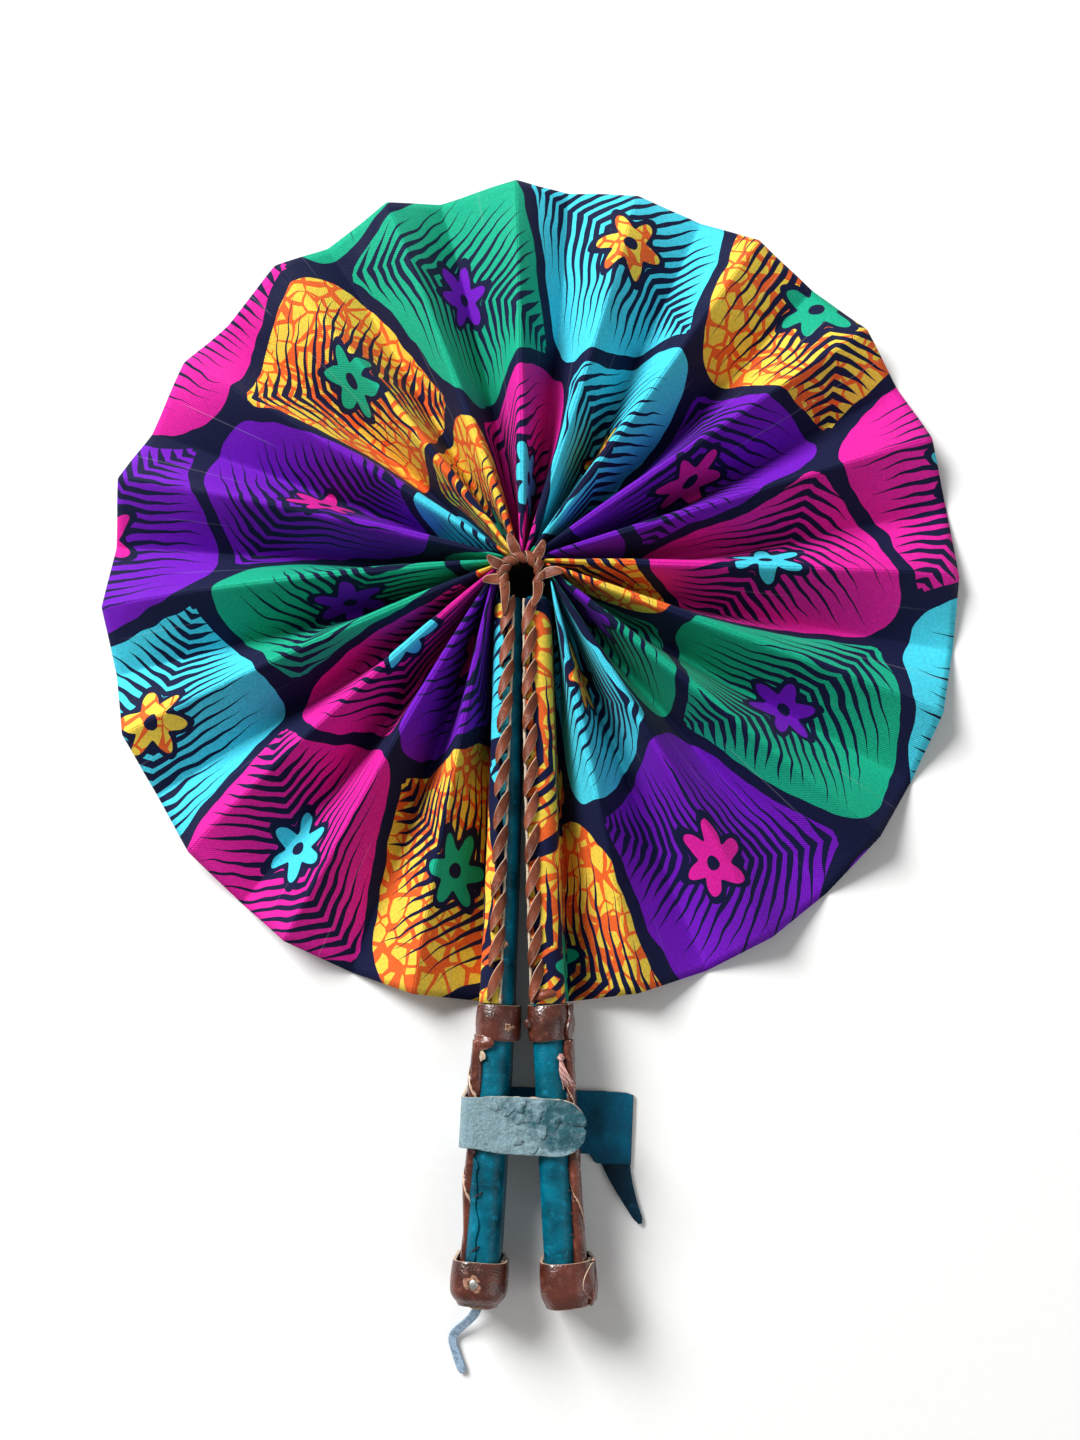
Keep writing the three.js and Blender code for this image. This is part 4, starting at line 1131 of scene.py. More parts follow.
class FanLeatherSettings(bpy.types.PropertyGroup):
    """Sizes and colours of the leather."""

    lace_width: length_setting("Lace width", "Width of the brown lace", 3.4)
    teal: colour_setting("Teal", "Cover of the sticks", "#006b82")
    brown: colour_setting("Brown", "Bands, caps, tabs and knot", "#622c1f")
    lace: colour_setting("Lace", "Lacing on the sticks and the hub", "#87462f")
    strap: colour_setting("Strap", "Grain side of the strap", "#005d7c")
    suede: colour_setting("Suede", "Flesh side of the strap", "#829fa8")
    raw: colour_setting("Raw edge", "Cut edges and the welt", "#d3bfa6")
    thong: colour_setting("Thong", "Strip at the left foot", "#9db8d0")


class FanStageSettings(bpy.types.PropertyGroup):
    """Light, floor and camera."""

    lens: FloatProperty(
        name="Lens", description="Focal length on a 36 mm long side", default=36.325,
        subtype="DISTANCE_CAMERA",
    )
    key: FloatProperty(name="Key light", description="Power of the main light", default=104.0, unit="POWER")
    fill: FloatProperty(name="Fill light", description="Power of the fill light", default=9.0, unit="POWER")
    sky: FloatProperty(name="Sky", description="Brightness of the even light", default=0.27)
    floor: colour_setting("Floor", "Colour of the paper floor", "#f4f4f3")


# Leaf of cloth
def cloth_thickness():
    """Thickness of the cloth in millimetres."""
    return bpy.context.scene.fan_leaf.cloth_thickness / MM


def hem_section(side, d):
    """Outline of a hem across a stick: up its outer side and over its front to the lacing."""
    wall = half_width(d) + CLOTH_GAP + CLOTH_SOLID / 2
    front = STICK_FRONT + CLOTH_GAP + CLOTH_SOLID / 2
    edge = lace_centre(side, d) - HEM_INSET
    curve = min(HEM_CURVE, wall - 0.4)
    inner = wall - curve
    section = [(wall + 1.0, 0.3), (wall + 0.45, 0.35)]
    section += [(wall, CLOTH_SOLID / 2 + (front - curve) * i / 6) for i in range(1, 6)]
    for share in shares(9):
        angle = math.pi / 2 * share
        section.append((inner + curve * math.cos(angle), front - curve + curve * math.sin(angle)))
    for share in shares(6)[1:]:
        section.append((between(inner, edge, share), front + HEM_PUFF * math.sin(math.pi * share)))
    return section


def hem_rows(side):
    """Points of the leaf's hem on a stick, and their places on the flat cloth."""
    rows = []
    flat = []
    for share in shares(HEM_ROWS):
        d = between(WELT_TOP, LEAF_EDGE, share)
        section = hem_section(side, d)
        run = 0.0
        flat_row = []
        for i, (u, z) in enumerate(section):
            if i:
                run += math.hypot(u - section[i - 1][0], z - section[i - 1][1])
            strip = -run if side < 0 else FOLDS * PLEAT_FACE + run
            flat_row.append((strip * MM, (d - RING_RADIUS) * MM))
        flat.append(flat_row)
        rows.append([
            on_stick(side, d, u + 0.12 * wander(3, d * 0.2, i), z) for i, (u, z) in enumerate(section)
        ])
    return rows, flat


class FAN_OT_leaf(bpy.types.Operator):
    """Fold the printed cotton into the leaf, and hem its ends on the sticks"""

    bl_idname = "fan.leaf"
    bl_label = "Leaf"

    def execute(self, context):
        leaf = context.scene.fan_leaf
        tree = leaf_tree()
        for i in range(PLEATS + 1):
            self.pleat(tree, leaf, i)
        for side, name in SIDES:
            self.hem(side, name)
            self.tongue(side, name)
        return {"FINISHED"}

    def pleat(self, tree, leaf, i):
        """Cloth from one ridge to the next, or half of that at the two ends of the leaf."""
        first = max(2 * i - 1, 0)
        folds = min(2 * i + 1, FOLDS) - first
        columns = leaf.columns if folds == 2 else leaf.columns // 2 + 1
        piece = grow(f"leaf_cloth_{i:02d}", tree, {
            "First Fold": float(first), "Folds": float(folds), "Columns": columns, "Rows": leaf.rows,
            "Face": PLEAT_FACE * MM, "Roundness": leaf.roundness, "Tubes": leaf.tubes, "Funnel": FUNNEL,
            "Slack": leaf.slack, "Lean": LEAF_LEAN, "Uneven": LEAF_UNEVEN, "Cloth": finish("cotton"),
        })
        thicken(piece, cloth_thickness())
        turn = piece.data.attributes["turn"]
        weights = np.zeros(len(piece.data.vertices), np.float32)
        turn.data.foreach_get("value", weights)
        piece.data.attributes.remove(turn)
        bent(piece)
        if i:
            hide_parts(CHAIN[i])

    def hem(self, side, name):
        """End of the leaf, turned over a stick."""
        rows, flat = hem_rows(side)
        hem = surface(f"leaf_hem_{name}", rows, finish("cotton"), flat=flat)
        thicken(hem, cloth_thickness())
        carried(hem, f"{name}_handle", "leaf_cotton", f"leaf_end_{name}")

    def tongue(self, side, name):
        """Corner of the cloth that is tucked into the hub, in navy darkened as painted shade: a dark sheet
        that stands for the shade in the hub's hole.
        """
        rows = []
        for share in shares(17):
            d = STICK_TOP + 2.5 - 15.5 * share
            low = -half_width(d) - inner_edge(d) * 0.9
            high = half_width(d) + 1.5 - 2.0 * share
            height = 14.5 - 13.4 * min(1.6 * share, 1) ** 0.8
            rows.append([
                on_stick(side, d, between(low, high, c / 10), height + 0.3 * math.sin(c * 1.4 + side) * share)
                for c in range(11)
            ])
        tongue = surface(f"hub_shade_tongue_{name}", rows, finish("hub_shade_lining"))
        thicken(tongue, cloth_thickness())
        carried(tongue, f"{name}_handle", "leaf_cotton")


# Lacing
def winding(loops, seen):
    """Angle of a lace after some loops. Each front run takes the seen share of a loop, and is straight."""
    whole, part = divmod(loops, 1.0)
    if part < seen:
        return 2 * math.pi * whole + math.acos(1 - 2 * part / seen)
    return 2 * math.pi * whole + math.pi * (1 + (part - seen) / (1 - seen))


def ring_angle(share):
    """Angle at a share of the way round the hub ring."""
    return RING_START + (math.pi - 2 * RING_START) * share


# Shares of a lace end's half width, and how much of its cut edge shows there
LACE_ACROSS = (-1.0, -0.67, -0.33, 0.0, 0.33, 0.67, 1.0)
LACE_RIM = (1.0, 0.74, 0.0, 0.0, 0.0, 0.74, 1.0)

# Loose ends of the hub lace: the number of the pleat that carries each, and its length
HUB_LACE_ENDS = ((9, 6.0), (5, 4.5), (2, 4.5), (13, 5.0), (17, 5.5))


class FAN_OT_lacing(bpy.types.Operator):
    """Wind the brown lace along both sticks and round the hub"""

    bl_idname = "fan.lacing"
    bl_label = "Lacing"

    def execute(self, context):
        width = context.scene.fan_leather.lace_width
        tree = lace_tree()
        for side, name in SIDES:
            self.stick_lacing(tree, side, name, width)
            self.welt(side, name)
        for i in range(PLEATS + 1):
            self.hub_lace(tree, i)
        for number, (i, long) in enumerate(HUB_LACE_ENDS):
            self.lace_end(number, i, long)
        for side, name in SIDES:
            self.lace_tail(side, name)
        return {"FINISHED"}

    def stick_lacing(self, tree, side, name, width):
        """Lace wound along a stick, over the edge of the hem."""
        loops = 12
        steps = loops * 40
        distances = [LACE_TOP + (LACING_END - LACE_TOP) * k / steps for k in range(steps + 1)]
        points = [on_stick(side, d, lace_centre(side, d), LACE_Z) for d in distances]
        across = [(on_stick(side, d, 1, 0) - on_stick(side, d, 0, 0)).normalized() for d in distances]
        turns = [winding(loops * k / steps, STICK_LACE_SEEN) for k in range(steps + 1)]
        if side < 0:
            turns = [math.pi - t for t in turns]
        base = lace_path(f"{name}_lacing", points, across, turns)
        lace = grow(f"{name}_lacing_leather", tree, {
            "Points": steps, "Half Width": COIL_U * MM, "Half Height": COIL_FLAT * MM,
            "Lace Width": width, "Lace Thickness": STICK_LACE_THICK * MM, "Leather": finish("lace"),
        }, base)
        carried(lace, f"{name}_handle", "brown_leather", f"{name}_lacing")

    def welt(self, side, name):
        """Ragged raw edge of leather under a stick's lacing."""
        inset, wide, tall = 1.75, 0.5, 0.6
        height = STICK_FRONT + 0.75
        rows = []
        for share in shares(120):
            d = between(WELT_TOP, LEAF_EDGE, share)
            ring = []
            for c, a in enumerate(round_angles(10)):
                rough = 1 + 0.3 * wander(5 + side, d * 0.5, c * 0.4)
                sway = 0.25 * wander(8 + side, d * 0.3)
                u = lace_centre(side, d) - inset + wide * math.cos(a) * rough + sway
                ring.append(on_stick(side, d, u, height + tall * math.sin(a) * rough))
            rows.append(ring)
        welt = surface(f"{name}_welt_edge", rows, finish("raw"), around=True, capped=True)
        carried(welt, f"{name}_handle", "raw_leather", f"{name}_welt")

    def hub_lace(self, tree, i):
        """Stretch of the lace round the hub that follows one fold."""
        loops = 7
        steps = 24
        start = max((i - 0.5) / PLEATS, 0)
        end = min((i + 0.5) / PLEATS, 1)
        places = [start + (end - start) * k / steps for k in range(steps + 1)]
        outward = [Vector((math.cos(ring_angle(t)), math.sin(ring_angle(t)), 0)) for t in places]
        points = [Vector((0, HUB_Y - HUB_DROP, HUB_LACE_Z)) * MM + way * HUB_RING * MM for way in outward]
        turns = [winding(loops * t, HUB_LACE_SEEN) for t in places]
        base = lace_path(f"hub_lace_{i:02d}", points, outward, turns)
        lace = grow(f"hub_lace_{i:02d}", tree, {
            "Points": steps, "Half Width": HUB_RING_COIL * MM, "Half Height": HUB_RING_COIL * MM * 0.8,
            "Lace Width": HUB_LACE_WIDTH * MM, "Lace Thickness": HUB_LACE_THICK * MM,
            "Leather": finish("lace"),
        }, base)
        for v in lace.data.vertices:
            angle = math.atan2(v.co.y - HUB_MIDDLE.y, v.co.x - HUB_MIDDLE.x)
            if angle < math.pi - RING_START - 0.3:
                angle += 2 * math.pi
        bent(lace)
        if i == 0:
            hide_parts("hub_lace")

    def lace_end(self, number, i, long):
        """Loose end of the hub lace that points out along a pleat."""
        angle = ring_angle((i - 0.5) / PLEATS)
        way = Vector((math.cos(angle), math.sin(angle), 0))
        aside = Vector((-way.y, way.x, 0))
        rows = []
        for share in shares(13):
            radius = HUB_RING + (long + 2.2) * share
            lift = HUB_LACE_TOP - 1.2 * (1 - share) ** 3 + 0.3 * math.sin(share * 5 + number)
            half = 2.0 * math.sqrt(1 - 0.96 * share ** 2) * (0.75 + 0.25 * step(0, 0.4, share))
            swing = 1.1 * math.sin(share * 2.2 + number * 1.7) * share
            rows.append([
                HUB_MIDDLE + (way * radius + aside * (half * c + swing) + UP * (lift - 0.1 * c ** 2)) * MM
                for c in LACE_ACROSS
            ])
        end = surface(f"hub_lace_end_{number + 1}", rows, finish("lace"), finish("raw"))
        mark(end, "rim", LACE_RIM * len(rows))
        thicken(end, 0.5, edge=1)
        carried(end, CHAIN[i], "brown_leather")

    def lace_tail(self, side, name):
        """End of the hub lace that comes down on the stick."""
        start = Vector((side * HUB_RING * 0.87, HUB_Y - HUB_DROP - HUB_RING * 0.42, 26.2)) * MM
        drop = LACING_TOP + (4.5 if side < 0 else 2.0)
        route = smooth_route((
            start, on_stick(side, STICK_TOP + 0.5, 0.9, 25.4),
            on_stick(side, drop, lace_centre(side, drop) + 1.2, 24.6),
        ), 17)
        rows = []
        for k, share in enumerate(shares(len(route))):
            across = directions(route, k)[1]
            half = 1.7 * (1 - 0.85 * share ** 3) * MM
            rows.append([route[k] - across * half * c for c in LACE_ACROSS])
        tail = surface(f"{name}_hub_lace_tail", rows, finish("lace"), finish("raw"))
        mark(tail, "rim", LACE_RIM * len(rows))
        thicken(tail, 0.6, edge=1)
        carried(tail, f"{name}_handle", "brown_leather")


# Sticks, bands and piping
def band(name, side, reach, turns, thickness, extra=0.0, lip=0.0):
    """Leather band round a stick, its end lapped over its start."""
    count = 110
    across = 17
    rows = []
    for k in range(count + 1):
        row = []
        for share in shares(across):
            edge = abs(2 * share - 1)
            run = k / count * (turns - 0.02 * math.sin(share * 5 + side))
            turn = BAND_START[side] + run
            raised = max(stick_round(STICK_END, turn, extra)[1][1], -0.5)
            lift = (thickness + 0.1) * step(0.9, 1.0, run)
            d = between(*reach, share) + 0.3 * wander(side + 4, run * 9, share) * edge ** 3
            margin = CLOTH_GAP + thickness / 2 + lift + 0.12 * wander(side + 2, run * 8, share * 3)
            margin += (0.3 + 0.6 * raised) * (1 - edge ** 2)
            margin -= lip * step(0.6, 1.0, share) ** 2
            row.append(round_stick(side, d, turn, margin, extra))
        rows.append(row)
    piece = surface(name, rows, finish("brown"))
    mark(piece, "rim", [1.0, *[0.0] * (across - 2), 1.0] * len(rows))
    return thicken(piece, thickness, bevel=0.2)


def lump(name, middle, material, rings, sides, pole, stretch, radius):
    """Small closed lump. radius gives its size from a ring's number, its angle and the angle round it."""
    rows = []
    for k, share in enumerate(shares(rings)):
        polar = math.pi * between(pole, 1 - pole, share)
        girth = math.sin(polar)
        row = []
        for a in round_angles(sides):
            way = Vector((girth * math.cos(a), stretch * math.cos(polar), girth * math.sin(a)))
            row.append(middle + way * radius(k, polar, a) * MM)
        rows.append(row)
    return surface(name, rows, material, around=True, capped=True)


# Stitches of each cover's seam: their place round the stick, and along it
SEAM_STITCHES = {-1: (0.205, (205.0, 221.5)), 1: (0.145, (198.0, 204.5, 211.5, 218.0))}


class FAN_OT_sticks(bpy.types.Operator):
    """Cover the wooden sticks in teal leather, with lapped seams"""

    bl_idname = "fan.sticks"
    bl_label = "Sticks"

    def execute(self, context):
        for side, name in SIDES:
            resurface(f"{name}_stick", finish("wood"))
            self.cover(side, name)
            self.seam(side, name)
            self.stitches(side, name)
        return {"FINISHED"}

    def cover(self, side, name):
        """Leather all round a stick, drawn in at its two ends."""
        rows = []
        last = CAP_END - 2
        around = 56
        for share in shares(121):
            d = between(STICK_TOP, last, share)
            end = min(step(STICK_TOP - 0.01, STICK_TOP + 1.2, d), step(last + 0.01, last - 1.2, d))
            rows.append([
                round_stick(
                    side, d, c / around, -0.9 * (1 - end) + 0.1 * wander(side + 1, d * 0.12, c * 0.35)
                )
                for c in range(around)
            ])
        cover = surface(f"{name}_cover", rows, finish("teal"), around=True, capped=True)
        carried(cover, f"{name}_handle", "teal_leather", f"{name}_wrap")

    def seam(self, side, name):
        """Lapped edge of the cover."""
        top = COLLAR_END + (31 if side < 0 else 1)
        start = 0.02
        rows = []
        for share in shares(81):
            d = between(top, CAP_TOP + 2, share)
            if side < 0:
                reach = 0.2 + 0.012 * math.sin(d * 0.21) + 0.007 * math.sin(d * 0.62 + 1)
                reach *= step(top, top + 9, d)
            else:
                reach = 0.135 + 0.008 * math.sin(d * 0.8) + 0.006 * wander(12, d * 1.3)
            rows.append([
                round_stick(side, d, between(start, reach, c / 10), 0.5 - 0.12 * (c == 10)) for c in range(11)
            ])
        flap = surface(f"{name}_seam_flap", rows, finish("teal"), finish("raw"))
        thicken(flap, 0.7, bevel=0.2)
        carried(flap, f"{name}_handle", "teal_leather")

    def stitches(self, side, name):
        """Slanted stitches that hold the lapped edge."""
        share, places = SEAM_STITCHES[side]
        for number, d in enumerate(places):
            ends = [
                round_stick(side, d + 0.9, share - 0.02, 0.8),
                round_stick(side, d, share, 1.0),
                round_stick(side, d - 1.0, share + 0.02, 0.2),
            ]
            thread = tube(
                f"{name}_seam_stitch_{number + 1}", smooth_route(ends, 9), STITCH_RADIUS, finish("stitch")
            )
            carried(thread, f"{name}_handle", "teal_leather")


# Loose ends: name, side, reach along the stick, turns round it, extra width, lift, finish and CAD node
LOOSE_ENDS = (
    (
        "right_collar_tab_end", 1, (COLLAR_TOP, COLLAR_END - 1.5), (-0.03, 0.1), 0.0, 2.3, "brown",
        ["right_collar_tab"],
    ),
    (
        "right_cap_tab_end", 1, (CAP_TOP + 0.8, CAP_END - 1.4), (-0.01, 0.175), PIPING, 2.2, "brown",
        ["right_cap_tab"],
    ),
    ("left_collar_tuck", -1, (COLLAR_END - 1.5, COLLAR_END + 3.0), (0.09, 0.25), 0.0, 1.2, "piping", []),
    ("left_collar_raw_bit", -1, (COLLAR_END + 2.0, COLLAR_END + 8.0), (0.125, 0.21), 0.0, 1.0, "raw", []),
    ("left_collar_nick", -1, (COLLAR_TOP + 6.0, COLLAR_TOP + 7.6), (0.3, 0.35), 0.0, 2.1, "torn", []),
    ("left_lacing_torn_bit", -1, (124.4, 127.6), (0.262, 0.3), 0.0, 0.9, "torn", []),
    ("right_lacing_end", 1, (LEAF_EDGE - 4.6, LEAF_EDGE - 1.4), (0.32, 0.2), 0.0, 1.3, "lace", []),
)

# Piping at the collar, and its change down to the cap: place outwards, half width, height and half height
PIPING_FORM = {
    -1: ((0.35, 0.75), (2.4, -0.7), (17.4, -3.4), (5.2, -0.8)),
    1: ((1.2, 0.1), (1.8, 0.4), (15.6, 0.2), (5.4, 0.0)),
}


class FAN_OT_bands(bpy.types.Operator):
    """Lay the brown bands, caps, tabs and piping on the grips"""

    bl_idname = "fan.bands"
    bl_label = "Bands and piping"

    def execute(self, context):
        for side, name in SIDES:
            collar = band(f"{name}_collar_band", side, (COLLAR_TOP, COLLAR_END), COLLAR_TURNS, COLLAR_THICK)
            carried(collar, f"{name}_handle", "brown_leather", f"{name}_collar")
            cap = band(
                f"{name}_cap_band", side, (CAP_TOP, CAP_END), CAP_TURNS, CAP_THICK, PIPING + CLOTH_GAP,
                CAP_LIP[side],
            )
            carried(cap, f"{name}_handle", "brown_leather", f"{name}_end_cap")
            self.piping(side, name)
        for loose_end in LOOSE_ENDS:
            self.tab(*loose_end)
        self.knob()
        return {"FINISHED"}

    def piping(self, side, name):
        """Rolled strip of leather along the outer side of a grip, its lap winding slowly round it."""
        rows = []
        rims = []
        first = COLLAR_END + 0.2
        last = CAP_END - 0.6
        count = 48
        for fall in shares(161):
            d = between(first, last, fall)
            sway = (0.3 - 0.15 * side) * math.sin(d * 0.2 + side)
            out, wide, height, tall = (form + change * fall for form, change in PIPING_FORM[side])
            row = []
            for c, a in enumerate(round_angles(count)):
                lap = (c / count + 0.72 + side * (d - 206) / PIPING_TWIST) % 1.0
                groove = math.exp(-((lap - 0.45) / 0.06) ** 2) + math.exp(-((lap - 0.02) / 0.05) ** 2)
                roll = (0.88 + 0.16 * lap) * (1 - 0.1 * step(0.95, 1.0, lap)) * (1 - 0.12 * groove)
                u = GRIP_WIDTH / 2 + out + (wide + sway) * roll * blunt(math.cos(a))
                row.append(on_stick(side, d, u, height + tall * roll * blunt(math.sin(a))))
                rims.append(step(0.9, 0.96, lap))
            rows.append(row)
        piping = surface(f"{name}_piping_roll", rows, finish("piping"), around=True, capped=True)
        mark(piping, "rim", rims)
        carried(piping, f"{name}_handle", "brown_leather", f"{name}_piping")

    def tab(self, name, side, reach, turns, extra, lift, skin, node):
        """Loose end of a band or lace."""
        ragged = skin in ("raw", "torn")
        pointed = 0.9 if ragged else 0.3
        swell = 0.2 if ragged else 0.7
        rows = []
        for share in shares(25):
            row = []
            for across in shares(13):
                edge = abs(2 * across - 1)
                d = between(*reach, across) + 0.9 * ragged * wander(71, share * 5, across * 3)
                bow = 1 - pointed * step(0.2, 1.0, share) * edge ** 2
                turn = turns[0] + (turns[1] - turns[0]) * share * bow
                margin = lift + swell * math.sin(math.pi * share) * (1 - 0.6 * edge)
                margin += 0.2 * math.sin(across * 9 + share * 4)
                row.append(round_stick(side, d, turn, margin, extra))
            rows.append(row)
        tab = surface(name, rows, finish(skin), finish("raw"))
        thicken(tab, 0.4 if ragged else 0.9, edge=1, bevel=0.15)
        carried(tab, "right_handle" if side > 0 else "left_handle", "brown_leather", *node)

    def knob(self):
        """Knot of leather on the right collar."""
        middle = on_stick(1, (COLLAR_TOP + COLLAR_END) / 2, -6.2, BAND_FRONT - 2.6)
        knob = lump(
            "right_collar_knot", middle, finish("brown"), rings=13, sides=20, pole=0.02, stretch=1.25,
            radius=lambda k, polar, a: 1.45 + 0.3 * wander(17, k * 0.5, math.cos(a) * 1.5),
        )
        carried(knob, "right_handle", "brown_leather", "right_collar_knob")


# Strap
def strap_point(x, y, z):
    """Point on the strap in metres: x along it, y up the fan and z off the table, from the left stick."""
    slope = stick_slope(STRAP_AT)
    right = Vector((1, -slope, 0)).normalized()
    up = Vector((slope, 1, 0)).normalized()
    return on_stick(-1, STRAP_AT, 0, 0) + (right * x + up * y + Vector((0, 0, z))) * MM


def strap_path():
    """Middle line of the strap's leather, behind the grips, round the left one and over the front."""
    path = [(between(STRAP_REACH, BEND_START, share), STRAP_BACK, "back") for share in shares(61)]
    low = STRAP_BACK + BEND_RADIUS
    high = STRAP_FRONT - BEND_RADIUS
    for angle in (math.radians(-90 - 9 * k) for k in range(1, 11)):
        x = BEND_START + BEND_RADIUS * math.cos(angle)
        path.append((x, low + BEND_RADIUS * math.sin(angle), "bend"))
    path += [(BEND_START - BEND_RADIUS, between(low, high, k / 10), "bend") for k in range(1, 10)]
    for angle in (math.radians(180 - 9 * k) for k in range(11)):
        x = BEND_START + BEND_RADIUS * math.cos(angle)
        path.append((x, high + BEND_RADIUS * math.sin(angle), "bend"))
    for share in shares(61)[1:]:
        path.append((between(BEND_START, FLAP_REACH, 1 - (1 - share) ** 1.5), STRAP_FRONT, "flap"))
    return path


def strap_edges(x, z, part):
    """Lower and upper edge of the strap. It flares at its back end and is drawn in at the flap's nose."""
    low, high = -STRAP_WIDTH / 2, STRAP_WIDTH / 2
    if part == "back":
        flare = STRAP_REACH - STRAP_FLARE_WIDTH
        low -= STRAP_FLARE * step(flare - STRAP_FLARE, flare, x)
        high -= 0.6 * step(STRAP_REACH - STRAP_FLARE, STRAP_REACH, x)
        return low, high
    if part == "bend":
        drawn_in = BEND_DRAW * step(STRAP_BACK, STRAP_FRONT, z)
    else:
        drawn_in = FLAP_DRAW + (BEND_DRAW - FLAP_DRAW) * step(BEND_START + 12, BEND_START, x)
        past = max(x - FLAP_REACH + FLAP_NOSE, 0) / FLAP_NOSE
        drawn_in += NOSE_PULL * (1 - math.sqrt(max(1 - past ** 2, 0)))
    return low + drawn_in, high - drawn_in


def flap_shape(x, y):
    """How far a point of the flap lies from flat, along the strap and up."""
    tip = step(FLAP_REACH - 11, FLAP_REACH, x)
    crease = math.exp(-((y - 0.6) / 0.8) ** 2)
    along = -1.5 * crease * step(FLAP_REACH - 3, FLAP_REACH, x)
    up = 0.3 + 0.4 * step(8, 24, x) - 1.1 * crease * tip + 0.5 * tip * math.cos(y * 0.6)
    up += 0.3 * wander(23, x * 0.22, y * 0.22)
    up += 0.6 * max(wander(27, x * 0.55, y * 0.9), 0) * step(4, 8, x) * step(27, 23, x)
    return along, up


def flap_stain(x, y):
    """How far the dye has come through the flap's flesh side, from 0 to 1.1."""
    near = math.exp(-((x - 6.5) / 4.5) ** 2 - ((y - 5.0) / 3.5) ** 2)
    far = math.exp(-((x - 14.5) / 4.5) ** 2 - ((y - 2.0) / 5.0) ** 2)
    return min(0.85 * near + far + 1.05 * step(14, 21, x) * step(-10, -5, y), 1.1)


# Torn flakes on the flap: place along and across it, direction in degrees, length
FLAKES = (
    (2.0, 6.6, 205, 3.0), (6.4, 6.4, 248, 4.0), (9.6, 7.4, 285, 3.4), (11.6, 3.0, 215, 4.2),
    (15.6, 5.4, 262, 4.4), (17.6, 0.4, 250, 4.2), (13.4, -5.2, 283, 3.2), (9.4, -3.6, 240, 2.6),
    (20.4, 3.0, 300, 3.0),
)


class FAN_OT_strap(bpy.types.Operator):
    """Wrap the strap round the grips and hang its tail"""

    bl_idname = "fan.strap"
    bl_label = "Strap"

    def execute(self, context):
        self.strap()
        resurface("strap_rivet", finish("steel"))
        self.tail()
        for number, flake in enumerate(FLAKES):
            self.flake(number, *flake)
        return {"FINISHED"}

    def strap(self):
        """Band of leather from its back end to the nose of its flap."""
        across = 41
        rows = []
        stains = []
        for x, z, part in strap_path():
            low, high = strap_edges(x, z, part)
            row = []
            for c, share in enumerate(shares(across)):
                y = between(high, low, share)
                rough = 0.18 * wander(21, x * 0.35, y * 0.35) * (c in (0, across - 1))
                dx, dz = flap_shape(x, y) if part == "flap" else (0.0, 0.0)
                row.append(strap_point(x + dx, y + rough, z + dz))
                stains.append(flap_stain(x, y) if part == "flap" else 0.0)
            rows.append(row)
        strap = surface("strap_leather_band", rows, finish("suede"), finish("grain"), finish("raw"))
        mark(strap, "stain", stains)
        thicken(strap, STRAP_LEATHER - 0.1, edge=2, back=1)
        bent(strap)
        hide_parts("strap_back", "strap_bend", "strap_flap")

    def flake(self, number, x, y, turn, long):
        """Flake of the nap that stands up from the flap."""
        way = (math.cos(math.radians(turn)), math.sin(math.radians(turn)))
        front = STICK_FRONT + CLOTH_GAP + STRAP_LEATHER - 0.1
        rows = []
        stains = []
        for share in shares(9):
            half = (1.5 + 0.6 * wander(61, number * 1.7)) * math.sqrt(1 - 0.97 * share ** 2)
            row = []
            for c in range(-3, 4):
                torn = 1 + 0.5 * wander(63, number * 3 + share * 4, c)
                aside = half * torn * c / 3 + 0.5 * math.sin(number + share * 3)
                px = x + way[0] * long * share - way[1] * aside
                py = y + way[1] * long * share + way[0] * aside
                rise = 0.05 + 0.6 * share * (1 - 0.45 * share) * (1 - 0.5 * (c / 3) ** 2)
                row.append(strap_point(px, py, front + flap_shape(px, py)[1] + rise))
                stains.append(0.75 * flap_stain(px, py))
            rows.append(row)
        flake = surface(f"strap_flake_{number + 1}", rows, finish("suede"))
        mark(flake, "stain", stains)
        thicken(flake, 0.22)
        carried(flake, "strap_flap", "strap_suede")

    def tail(self):
        """Pointed tail that hangs from the strap's back end."""
        top = -STRAP_WIDTH / 2 - STRAP_FLARE
        left = STRAP_REACH - STRAP_FLARE_WIDTH + 1.0
        right = STRAP_REACH - 0.4
        across = 13
        rows = []
        weights = []
        for share in shares(33):
            y = top + 1.5 - (TAIL_LENGTH + 1.8) * share
            blunted = 0.8 * (1 - step(1.0, 0.9, share))
            low = left + (STRAP_REACH + TAIL_LEAN - TAIL_TIP - left) * share ** 1.15 + blunted
            high = right + (TAIL_LEAN + 0.4) * share ** 1.5 - blunted
            lift = 0.75 + 0.5 * math.sin(share * 3) - 0.55 * step(0.25, 0.0, share)
            rows.append([
                strap_point(between(high, low, c), y, lift + 0.25 * math.sin(c * math.pi))
                for c in shares(across)
            ])
            weights += [step(0.05, 0.2, share)] * across
        # The tail's face takes the darker copy of the strap leather: painted shade of the fold
        tail = surface("strap_tail_leather", rows, finish("tail"), finish("suede"))
        thicken(tail, 1.0, back=1)
        bent(tail)
        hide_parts("strap_tail")


